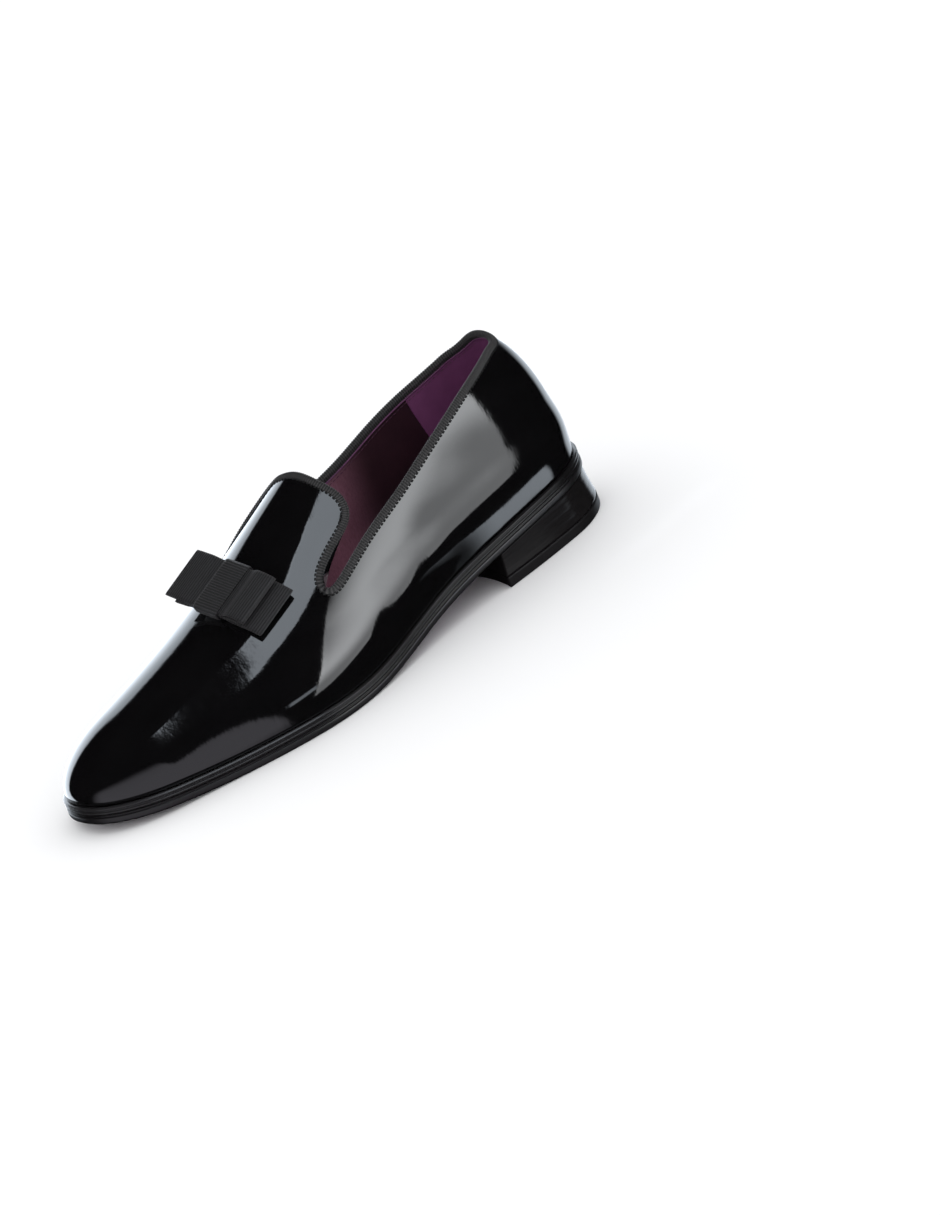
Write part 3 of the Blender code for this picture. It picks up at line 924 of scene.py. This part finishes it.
def sink_at(points):
    """How far the creases sink the leather under each point."""
    total = np.zeros(points.shape[:-1])
    for crease in CREASES:
        ends = ((crease.from_along, crease.from_height), (crease.to_along, crease.to_height))
        start, stop = [np.array([across_at(*end, crease.side), *end]) for end in ends]
        run = stop - start
        share = np.clip((points - start) @ run / (run @ run), 0, 1)
        gap = np.linalg.norm(points - start - share[..., None] * run, axis=-1)
        total += crease.depth * np.exp(-(gap / crease.width) ** 2)
    return total


skin = np.array([evenly(line, UPPER_ROWS) for line in upper_lines(UPPER_COLUMNS, LINE_POINTS)])
above_sole = skin[..., 2] - sole_top(skin[..., 1].ravel()).reshape(skin.shape[:2])
high_up = np.clip((above_sole - BULGE_HEIGHT) / BULGE_HEIGHT, 0, 1)[..., None]
skin_normals = unit(grid_normals(skin) * (1 - high_up) + form_normals(skin) * high_up)
skin -= sink_at(skin)[..., None] * skin_normals
print("upper from", round(skin[..., 2].min()), "to", round(skin[..., 2].max()), "mm high")

# %% [markdown]
# ## Patent leather
# Patent leather is leather under a thick clear varnish. It reflects sharply, but never quite flat: the
# varnish follows the leather, so straight lights come back a little wavy. Two bumps do that, one of
# slow waves and one of fine grain, under an almost mirror-smooth coat.

# %% Patent finish and the upper's shell
def patent_leather():
    f = Finish("black patent leather")
    waves = f.noise(14.0, 2.0, stretch=(1.0, 1.4, 0.8))
    ripple = f.noise(3.2, 2.0, stretch=(1.0, 1.0, 2.2))
    pores = f.noise(0.55, 2.0)
    hair = f.noise(0.9, 2.0, stretch=(1.0, 1.0, 4.0))
    relief = waves * 0.7 + ripple * 0.18 + pores * 0.02 + hair * 0.1
    return f.surface({
        "Base Color": f.colour_mix(waves, (0.0022, 0.0021, 0.0024), (0.0042, 0.004, 0.0045)),
        "Roughness": 0.035 + 0.05 * ripple,
        "Coat Weight": 0.6,
        "Coat Roughness": 0.03,
        "Normal": f.bump(relief, 0.12),
    })


SKIN_THICKNESS = 1.2
TUCK = 1.4
WELT_GAP = 0.1
inner = (skin - SKIN_THICKNESS * skin_normals)[:, ::-3]
tucked = skin[:, :1] - skin_normals[:, :1] * (TUCK, TUCK, 0) - (0, 0, UPPER_GAP - WELT_GAP)
shell = np.concatenate([tucked, skin, inner], axis=1)
add_wrapped("patent_upper", shell, patent_leather(), ["upper"])

# %% [markdown]
# ## Lining and sock
# Inside, the front is lined with a thin dark grained leather and the heel with a brighter purple suede,
# so that the foot doesn't slip; the two meet at an upright seam. Both are thin shells just inside the
# upper. The sock covers the insole board.

# %% Lining finishes
# Where the painted light on the lining under the notch begins and where it fades again, in metres towards
# the heel
LIT_BAND_STARTS = (-0.01, 0.015)
LIT_BAND_ENDS = (0.03, 0.065)


def suede_lining():
    f = Finish("purple suede lining")
    nap = f.noise(0.45, 4.0, rough=0.7)
    cloud = f.noise(9.0, 3.0)
    tone = f.colour_mix(cloud, (0.18, 0.05, 0.15), (0.28, 0.085, 0.23))
    return f.surface({
        "Base Color": f.colour_mix(nap * 0.5, tone, (0.15, 0.04, 0.125)),
        "Roughness": 0.85,
        "Specular IOR Level": 0.2,
        "Normal": f.bump(nap, 0.12),
    })


def notch_light_band(finish):
    """1 where the lining is painted as lit under the notch, 0 in front of it and behind it."""
    to_heel = finish.place("Y")
    return to_heel.between(*LIT_BAND_STARTS) * (1 - to_heel.between(*LIT_BAND_ENDS))


def grained_lining():
    f = Finish("dark grained lining")
    pebble = f.node("ShaderNodeTexVoronoi", {"feature": "F1"}, {
        "Vector": f.node("ShaderNodeTexCoord", output="Object"), "Scale": 1100.0})
    crease = f.noise(2.0, 4.0, stretch=(1.0, 0.35, 1.0), rough=0.65)
    cloud = f.noise(12.0, 3.0)
    shade = f.colour_mix(cloud, (0.024, 0.0095, 0.014), (0.045, 0.017, 0.025))
    # Under the notch the lining is painted brighter, a painted pool of light with painted glints where the
    # crease noise is high; elsewhere it keeps its dark shade.
    lit_burgundy = f.colour_mix(crease, (0.16, 0.05, 0.085), (0.5, 0.24, 0.33))
    return f.surface({
        "Base Color": f.colour_mix(notch_light_band(f), shade, lit_burgundy),
        "Roughness": 0.3 + 0.14 * crease,
        "Coat Weight": 0.3,
        "Coat Roughness": 0.28,
        "Normal": f.bump(pebble * 0.5 + crease * 0.5, 0.1),
    })


def sock_leather():
    f = Finish("purple sock")
    pores = f.noise(0.6, 3.0)
    cloud = f.noise(18.0, 3.0)
    purple = f.colour_mix(cloud, (0.035, 0.011, 0.03), (0.058, 0.018, 0.05))
    # Under the notch the sock is painted brighter too: painted light, with painted glints in its pores.
    lit_burgundy = f.colour_mix(pores, (0.14, 0.045, 0.075), (0.36, 0.15, 0.22))
    return f.surface({
        "Base Color": f.colour_mix(notch_light_band(f), purple, lit_burgundy),
        "Roughness": 0.6 + 0.12 * pores,
        "Normal": f.bump(pores, 0.08),
    })


print("lining finishes ready")

# %% Lining shells
LINING_DEPTH = 1.25
LINING_THICKNESS = 0.5
HEEL_LAP = 0.2
SEAM_ALONG = 56.5
SEAM_LEAN = 0.28
SEAM_TOP = 80.0
HEEL_STEPS = 150
FRONT_STEPS = 420
SEAM_LAP = 3


def between_seams(grid, starts, stops, steps):
    """Rows of a grid read again at even steps between a start and a stop column of their own."""
    place = starts[None, :] + (stops - starts)[None, :] * np.linspace(0, 1, steps)[:, None]
    low = np.floor(place).astype(int)
    part = (place - low)[..., None]
    rows = np.arange(grid.shape[1])[None, :]
    return grid[low % len(grid), rows] * (1 - part) + grid[(low + 1) % len(grid), rows] * part


def lining_shell(name, starts, stops, steps, depth, finish):
    """An open band of the inside of the upper, between two seams, as a thin closed shell."""
    grids = (skin[:, ::2], skin_normals[:, ::2])
    face, normals = [between_seams(grid, starts, stops, steps) for grid in grids]
    outer = face - depth * normals
    ring = np.concatenate([outer, (outer - LINING_THICKNESS * normals)[:, ::-1]], axis=1)
    count, rows, _ = ring.shape
    faces = [quad for quad in wrapped_faces(count, rows) if max(quad) - min(quad) < 2 * rows]
    ends = [list(range(rows))[::-1], list(range((count - 1) * rows, count * rows))]
    half = rows // 2
    for end in ends:
        faces += [(end[k], end[k + 1], end[rows - 2 - k], end[rows - 1 - k]) for k in range(half - 1)]
    add_piece(name, ring.reshape(-1, 3), faces, finish)


def seam_columns(columns):
    """For every row of the upper, the column in a range of columns where the lining's seam crosses it."""
    found = []
    for row in range(0, UPPER_ROWS, 2):
        ahead = skin[columns % UPPER_COLUMNS, row, 1] - SEAM_ALONG
        ahead += SEAM_LEAN * (SEAM_TOP - skin[columns % UPPER_COLUMNS, row, 2])
        found.append(columns[np.argmax(ahead > 0)])
    smooth = np.polyfit(np.arange(len(found)), found, 3)
    return np.polyval(smooth, np.arange(len(found)))


toe_column = int(np.argmax(skin[:, 0, 1]))
lateral_seam = seam_columns(np.arange(0, toe_column))
medial_seam = seam_columns(np.arange(0, toe_column - UPPER_COLUMNS, -1))
lining_shell("heel_suede_lining", medial_seam, lateral_seam, HEEL_STEPS, LINING_DEPTH + HEEL_LAP,
             suede_lining())
lining_shell("front_grained_lining", lateral_seam - SEAM_LAP, medial_seam + UPPER_COLUMNS + SEAM_LAP,
             FRONT_STEPS, LINING_DEPTH, grained_lining())

# %% Sock
WALL = 2.0
INSOLE_THICKNESS = 2.5
INSOLE_GAP = 2.0
SOCK_LAP = 1.2
INSOLE_EDGE = ((0.0, 0.0), (0.8, 0.0), (1.0, 0.5))

insole_base = midsole_base + MIDSOLE_THICKNESS + CLEARANCE
sock_inset = UPPER_INSET + WALL + INSOLE_GAP - SOCK_LAP
rings, _ = sole_rings(insole_base, INSOLE_THICKNESS, INSOLE_EDGE, sock_inset)
add_stack("sock", rings, sock_leather(), ["insole"])

# %% [markdown]
# ## Ribbed ribbon
# The binding and the bow are of one ribbon, woven with heavy cross threads that stand up as ribs. The
# ribs are real geometry, so they catch the light at a distance, and their grooves are also painted
# darker as painted shade; the finer warp threads over them are a bump.

# %% Ribbon finish
WARP_PITCH = 0.3


def ribbed_ribbon(name, pitch, light):
    f = Finish(name)
    run, width = f.flat_place()
    rib_shading = run.wave(pitch) ** 1.3
    warp = width.wave(WARP_PITCH)
    fuzz = f.noise(0.3, 3.0)
    # The grooves between the ribs are painted near black and the crests lighter: painted shade and light
    # laid over the real ribs.
    tone = f.colour_mix(rib_shading * 0.75 + fuzz * 0.25, (0.002, 0.0019, 0.002), light)
    return f.surface({
        "Base Color": tone,
        "Roughness": 0.5 + 0.2 * fuzz,
        "Sheen Weight": 0.12,
        "Sheen Roughness": 0.4,
        "Normal": f.bump(warp * 0.55 + fuzz * 0.45, 0.06),
    })


print("ribbon finish ready")

# %% [markdown]
# ## Top edge binding
# The raw edge of the upper is wrapped in ribbon: down the outside, over the edge and down the inside.
# At each point of the edge there is a small frame, along the edge, into the leather and away from it,
# and the wrapped section is drawn in that frame. A nearest-point search keeps the outer leg on the
# curved leather.

# %% Frames along the top edge
BINDING_RIB = 1.25
RIB_STEPS = 4
EDGE_COLUMNS = 1400
LEG_DEPTHS = np.array([0.0, 1.4, 2.8, 4.2, 6.4])
NORMAL_BLUR = 21
SLOPE_BACK = 6

skin_faces = []
for quad in wrapped_faces(UPPER_COLUMNS, UPPER_ROWS):
    quad_rows = [corner % UPPER_ROWS for corner in quad]
    if max(quad_rows) - min(quad_rows) == 1:
        skin_faces.append(quad)
skin_tree = BVHTree.FromPolygons(skin.reshape(-1, 3).tolist(), skin_faces)


def on_skin(points):
    """The nearest points of the leather's outer face."""
    return np.array([skin_tree.find_nearest(Vector(point))[0] for point in points])


def blurred(rows, width):
    """Each row averaged with its neighbours round a closed line."""
    kernel = np.hanning(width + 2)[1:-1]
    kernel /= kernel.sum()
    padded = np.vstack([rows[-width:], rows, rows[:width]])
    smooth = np.column_stack([np.convolve(column, kernel, "same") for column in padded.T])
    return smooth[width:-width]


edge_lines = upper_lines(EDGE_COLUMNS, LINE_POINTS)
edge_and_slope = np.hstack([edge_lines[:, -1], edge_lines[:, -SLOPE_BACK] - edge_lines[:, -1]])
edge_length = loop_length(edge_and_slope)
binding_ribs = round(edge_length / BINDING_RIB)
binding_columns = binding_ribs * RIB_STEPS
edge, slope = np.split(spaced(edge_and_slope, binding_columns), 2, axis=1)
edge_run = unit(steps_round(edge))
edge_away = unit(blurred(form_normals(edge), NORMAL_BLUR))
edge_into = unit(np.cross(edge_run, edge_away))
edge_into *= np.sign(np.sum(edge_into * slope))
edge_into = unit(blurred(edge_into, NORMAL_BLUR))

leg_places = np.array([on_skin(edge + depth * edge_into) for depth in LEG_DEPTHS])
leg_normals = np.array([unit(blurred(form_normals(places), NORMAL_BLUR)) for places in leg_places])


def below_edge(depth, away):
    """A line of points a depth below the top edge and a distance outside the leather."""
    share = np.interp(depth, LEG_DEPTHS, np.arange(len(LEG_DEPTHS)))
    low = min(int(share), len(LEG_DEPTHS) - 2)
    share -= low
    place = leg_places[low] * (1 - share) + leg_places[low + 1] * share
    normal = leg_normals[low] * (1 - share) + leg_normals[low + 1] * share
    return place + normal * np.asarray(away)[..., None]


print("top edge", round(edge_length), "mm long")

# %% Binding swept round the top edge
RIB_RELIEF = 0.18
BINDING_LIGHT = (0.052, 0.05, 0.051)

# Pairs: how far below the top edge, and how far outside the leather's face (inside it where negative)
OUTER_LEG = ((3.1, -0.05), (3.06, 0.34), (2.8, 0.46), (2.2, 0.5), (1.4, 0.5), (0.6, 0.48))
INNER_LEG = ((0.6, -2.1), (1.4, -2.15), (2.6, -2.15), (3.2, -2.1), (3.4, -1.7))
FOLD_INTO, FOLD_AWAY = 0.6, -0.8
FOLD_RADIUS = 1.3
FOLD_RISE = 0.95
FOLD_STEPS = 8

rib_wave = RIB_RELIEF * np.cos(2 * math.pi * np.arange(binding_columns) / RIB_STEPS)
rows = [below_edge(into, away + rib_wave) for into, away in OUTER_LEG]
for turn in np.linspace(math.pi / 2, -math.pi / 2, FOLD_STEPS):
    out = edge_away * math.sin(turn) * (FOLD_RADIUS + rib_wave)[:, None]
    out -= edge_into * math.cos(turn) * (FOLD_RISE + rib_wave)[:, None]
    rows.append(edge + edge_into * FOLD_INTO + edge_away * FOLD_AWAY + out)
rows += [below_edge(into, away - rib_wave) for into, away in INNER_LEG]
binding = np.stack(rows, axis=1)
across = np.concatenate([[0], np.cumsum(np.linalg.norm(np.diff(binding, axis=1), axis=2).mean(axis=0))])
along = np.arange(binding_columns) * edge_length / binding_columns
measures = np.stack(np.broadcast_arrays(along[:, None], across[None, :]), axis=-1)
binding_ribbon = ribbed_ribbon("binding ribbon", edge_length / binding_ribs, BINDING_LIGHT)
add_wrapped("ribbed_binding", binding, binding_ribbon, ["topline_binding"], measures)
print("binding", round(edge_length), "mm long with", binding_ribs, "ribs")

# %% [markdown]
# ## Stitches under the binding
# The outer leg of the binding is sewn down with black thread, so its lower edge is a row of small bumps
# against the glossy leather. Each stitch is a short rounded bar. All of them go into one mesh.

# %% Stitches
# depth: how far below the top edge; away: how far outside the leather's face; pitch: from stitch to
# stitch
Seam = namedtuple("Seam", "depth away pitch length radius")
BINDING_SEAM = Seam(3.5, 0.14, 2.1, 1.4, 0.36)
STITCH_SIDES = 8
STITCH_ENDS = ((-0.5, 0.0), (-0.47, 0.6), (-0.36, 0.95), (0.0, 1.1),
               (0.36, 0.95), (0.47, 0.6), (0.5, 0.0))


def stitch_bars(middles, runs, ups, length, radius):
    """Rounded bars, one for each middle, lying along their runs."""
    sides = np.cross(runs, ups)
    points, faces = [], []
    turn = np.linspace(0, 2 * math.pi, STITCH_SIDES, endpoint=False)
    for middle, run, up, side in zip(middles, runs, ups, sides):
        start = len(points)
        for place, fat in STITCH_ENDS[1:-1]:
            rim = middle + run * place * length
            points += [rim + radius * fat * (math.cos(a) * up + math.sin(a) * side) for a in turn]
        tips = len(points)
        points += [middle + run * place * length for place, _ in (STITCH_ENDS[0], STITCH_ENDS[-1])]
        rims = len(STITCH_ENDS) - 2
        for i in range(STITCH_SIDES):
            j = (i + 1) % STITCH_SIDES
            for k in range(rims - 1):
                low, high = start + k * STITCH_SIDES, start + (k + 1) * STITCH_SIDES
                faces.append((low + i, low + j, high + j, high + i))
            last = start + (rims - 1) * STITCH_SIDES
            faces.append((start + j, start + i, tips))
            faces.append((last + i, last + j, tips + 1))
    return np.array(points), faces


def thread(name, dark, light):
    f = Finish(name)
    strand = f.noise(0.25, 2.0)
    return f.surface({
        "Base Color": f.colour_mix(strand, dark, light),
        "Roughness": 0.5 + 0.15 * strand,
        "Normal": f.bump(strand, 0.04),
    })


def sew_round(name, seam, finish):
    """A row of stitches round the top edge."""
    line_and_up = np.hstack([below_edge(seam.depth, seam.away), leg_normals[-2]])
    count = round(loop_length(line_and_up) / seam.pitch)
    middles, ups = np.split(spaced(line_and_up, count), 2, axis=1)
    runs = unit(steps_round(middles))
    points, faces = stitch_bars(middles, runs, unit(ups), seam.length, seam.radius)
    add_piece(name, points, faces, finish)
    print(count, "stitches")


black = thread("black thread", (0.002, 0.002, 0.002), (0.008, 0.0075, 0.008))
sew_round("binding_stitches", BINDING_SEAM, black)

# %% [markdown]
# ## Edge of the lining
# Where the lining meets the binding inside, its edge is turned under, which shows as a thin brighter
# purple line, and a row of fine stitches runs below it. The line is a thin round bead that follows the
# same frames as the binding.

# %% Lining bead and stitches
BEAD_DEPTH = 3.75
BEAD_AWAY = -2.05
BEAD_RADIUS = 0.42
BEAD_SIDES = 8
LINING_SEAM = Seam(5.9, -1.85, 2.6, 1.9, 0.2)

turns = np.linspace(0, 2 * math.pi, BEAD_SIDES, endpoint=False)
bead_line = below_edge(BEAD_DEPTH, BEAD_AWAY)
bead_out = leg_normals[-2]
bead_up = np.cross(edge_run, bead_out)
bead = np.stack([bead_line + BEAD_RADIUS * (math.cos(a) * bead_out + math.sin(a) * bead_up)
                 for a in turns], axis=1)
bead_leather = thread("turned lining edge", (0.1, 0.026, 0.085), (0.19, 0.055, 0.165))
add_wrapped("lining_bead", bead, bead_leather)
purple = thread("purple thread", (0.07, 0.02, 0.045), (0.12, 0.04, 0.085))
sew_round("lining_stitches", LINING_SEAM, purple)

# %% [markdown]
# ## Bow
# The bow is flat: two ribbons folded into loops, one on the other, and a wide band that holds them.
# Each loop is pinched under the band, opens into a soft roll beside it, and turns back in a blunt fold.
# A loop is a closed line seen from its edge, swept across the width of the ribbon, with a rib at every
# cross thread.

# %% Place of the bow
BOW_ALONG = 194.5
BOW_SHIFT = 6.5
BOW_SPAN = 8.0
BOW_LIFT = 1.0
BOW_TILT = 14.0


def bow_frame():
    """Middle of the bow on the vamp with its axes: across, up the vamp, and away from it."""
    along = np.array([BOW_ALONG - BOW_SPAN, BOW_ALONG, BOW_ALONG + BOW_SPAN])
    place = ridge_across(BOW_ALONG) + BOW_SHIFT
    height = upper_height(np.full(3, place), along)
    up = np.array([0.0, along[0] - along[2], height[0] - height[2]])
    up /= np.linalg.norm(up)
    tilt = math.radians(BOW_TILT)
    level = np.array([1.0, 0.0, 0.0])
    across = level * math.cos(tilt) - np.cross(up, level) * math.sin(tilt)
    return np.array([place, BOW_ALONG, height[1] + BOW_LIFT]), across, up, np.cross(up, across)


def place_on_vamp(side, climb, level):
    """Points given across the bow, up the vamp and away from it, in the shoe's own sizes."""
    middle, across, up, away = bow_frame()
    return middle + side[..., None] * across + climb[..., None] * up + level[..., None] * away


print("bow in the middle at", np.round(bow_frame()[0]), "mm")

# %% Loops and band seen from their edges
RIBBON = 25.0
RIBBON_THICKNESS = 0.6
PINCH = 0.45
LOOP_ROLL = 7.0
LOOP_BLUNT = 0.8
LOOP_TAPER = 0.15
BAND_WIDTH = 15.0
BAND_CLEAR = 1.4
BAND_EDGE = 1.6
BAND_SQUARE = 0.25
BOW_FINE = 2400

# level: height of the ribbon above the vamp at the band; bottom: how far its lower run opens below
# that; then for each side its reach, how far its end hangs, and how far its upper run opens
Loop = namedtuple("Loop", "name level bottom lateral lateral_drop lateral_top "
                          "medial medial_drop medial_top")
LOOPS = (
    Loop("bow_long_loop", 1.9, 1.7, 31.0, 3.6, 1.0, 23.0, 1.8, 0.5),
    Loop("bow_short_loop", 3.7, 0.45, 24.0, -0.4, 3.6, 26.5, -0.4, 1.7),
)


def loop_path(loop):
    """One folded ribbon seen from its edge, as side and level: pinched under the band, open beyond it."""
    turn = np.linspace(0, 2 * math.pi, BOW_FINE, endpoint=False)
    outer, over = np.cos(turn), np.sin(turn)
    to_lateral = outer > 0
    reach = np.where(to_lateral, loop.lateral, loop.medial)
    side = reach * outer
    held = BAND_WIDTH / 2 + BAND_EDGE
    free = np.maximum(np.abs(side) - held, 0) / (reach - held)
    hang = np.where(to_lateral, loop.lateral_drop, loop.medial_drop) * free**2
    rolled = np.clip(free * (reach - held) / LOOP_ROLL, 0, 1)
    rolled = rolled**2 * (3 - 2 * rolled) * (1 - LOOP_TAPER * free)
    top = PINCH + (np.where(to_lateral, loop.lateral_top, loop.medial_top) - PINCH) * rolled
    bottom = PINCH + (loop.bottom - PINCH) * rolled
    blunt = np.sign(over) * np.abs(over) ** LOOP_BLUNT
    return np.column_stack([side, loop.level - hang + blunt * np.where(over > 0, top, bottom)])


def band_path():
    """The band seen from its edge, as a closed line of (climb, level)."""
    turn = np.linspace(0, 2 * math.pi, BOW_FINE, endpoint=False)
    square = np.column_stack([np.cos(turn), np.sin(turn)])
    square = np.sign(square) * np.abs(square) ** BAND_SQUARE
    reach = RIBBON / 2 + CLEARANCE + RIBBON_THICKNESS
    low, high = LOOPS[0].level - BAND_CLEAR, LOOPS[1].level + BAND_CLEAR
    return np.column_stack([square[:, 0] * reach, (low + high) / 2 + square[:, 1] * (high - low) / 2])


print("band", round(loop_length(band_path())), "mm round")

# %% Bow ribbons
BOW_RIB = 1.25
BOW_RELIEF = 0.16
BOW_ROWS = 21
BOW_LIGHT = (0.03, 0.0285, 0.032)
SELVEDGE_THIN = 0.45
SELVEDGE_POWER = 24


def ribbon_strip(path, width):
    """A closed ribbon with ribs: places in the path's plane, across the ribbon, and for its finish."""
    length = loop_length(path)
    ribs = round(length / BOW_RIB)
    columns = ribs * RIB_STEPS
    path = spaced(path, columns)
    run = unit(steps_round(path))
    normal = np.column_stack([run[:, 1], -run[:, 0]])
    relief = BOW_RELIEF * np.cos(2 * math.pi * np.arange(columns) / RIB_STEPS)
    across = np.linspace(-width / 2, width / 2, BOW_ROWS)
    thin = 1 - SELVEDGE_THIN * np.abs(2 * across / width) ** SELVEDGE_POWER
    half = (RIBBON_THICKNESS / 2 + relief)[:, None] * thin[None, :]
    faces = [path[:, None, :] + normal[:, None, :] * part[..., None] for part in (half, -half[:, ::-1])]
    flat = np.concatenate(faces, axis=1)
    across = np.broadcast_to(np.concatenate([across, across[::-1]]), flat.shape[:2])
    along = np.broadcast_to(np.arange(columns)[:, None] * length / columns, flat.shape[:2])
    return flat, across, np.stack([along, across], axis=-1), length / ribs


for loop in LOOPS:
    flat, across, measures, pitch = ribbon_strip(loop_path(loop), RIBBON)
    grid = place_on_vamp(flat[..., 0], across, flat[..., 1])
    ribbon = ribbed_ribbon(loop.name + " ribbon", pitch, BOW_LIGHT)
    add_wrapped("ribbed_" + loop.name, grid, ribbon, [loop.name], measures)
flat, across, measures, pitch = ribbon_strip(band_path(), BAND_WIDTH)
grid = place_on_vamp(across, flat[..., 0], flat[..., 1])
ribbon = ribbed_ribbon("band ribbon", pitch, BOW_LIGHT)
add_wrapped("ribbed_bow_band", grid, ribbon, ["bow_band"], measures)

# %% [markdown]
# ## Sizes and finish
# The dressed shoe has to stay the size of its solids, so both boxes are printed.

# %% Print the sizes of the solids and the dressed shoe
dressed_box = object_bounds()
for name, box in (("solids", cad_box), ("dressed", dressed_box)):
    print(name, [round((high - low) / MM, 1) for low, high in zip(*box)], "mm")
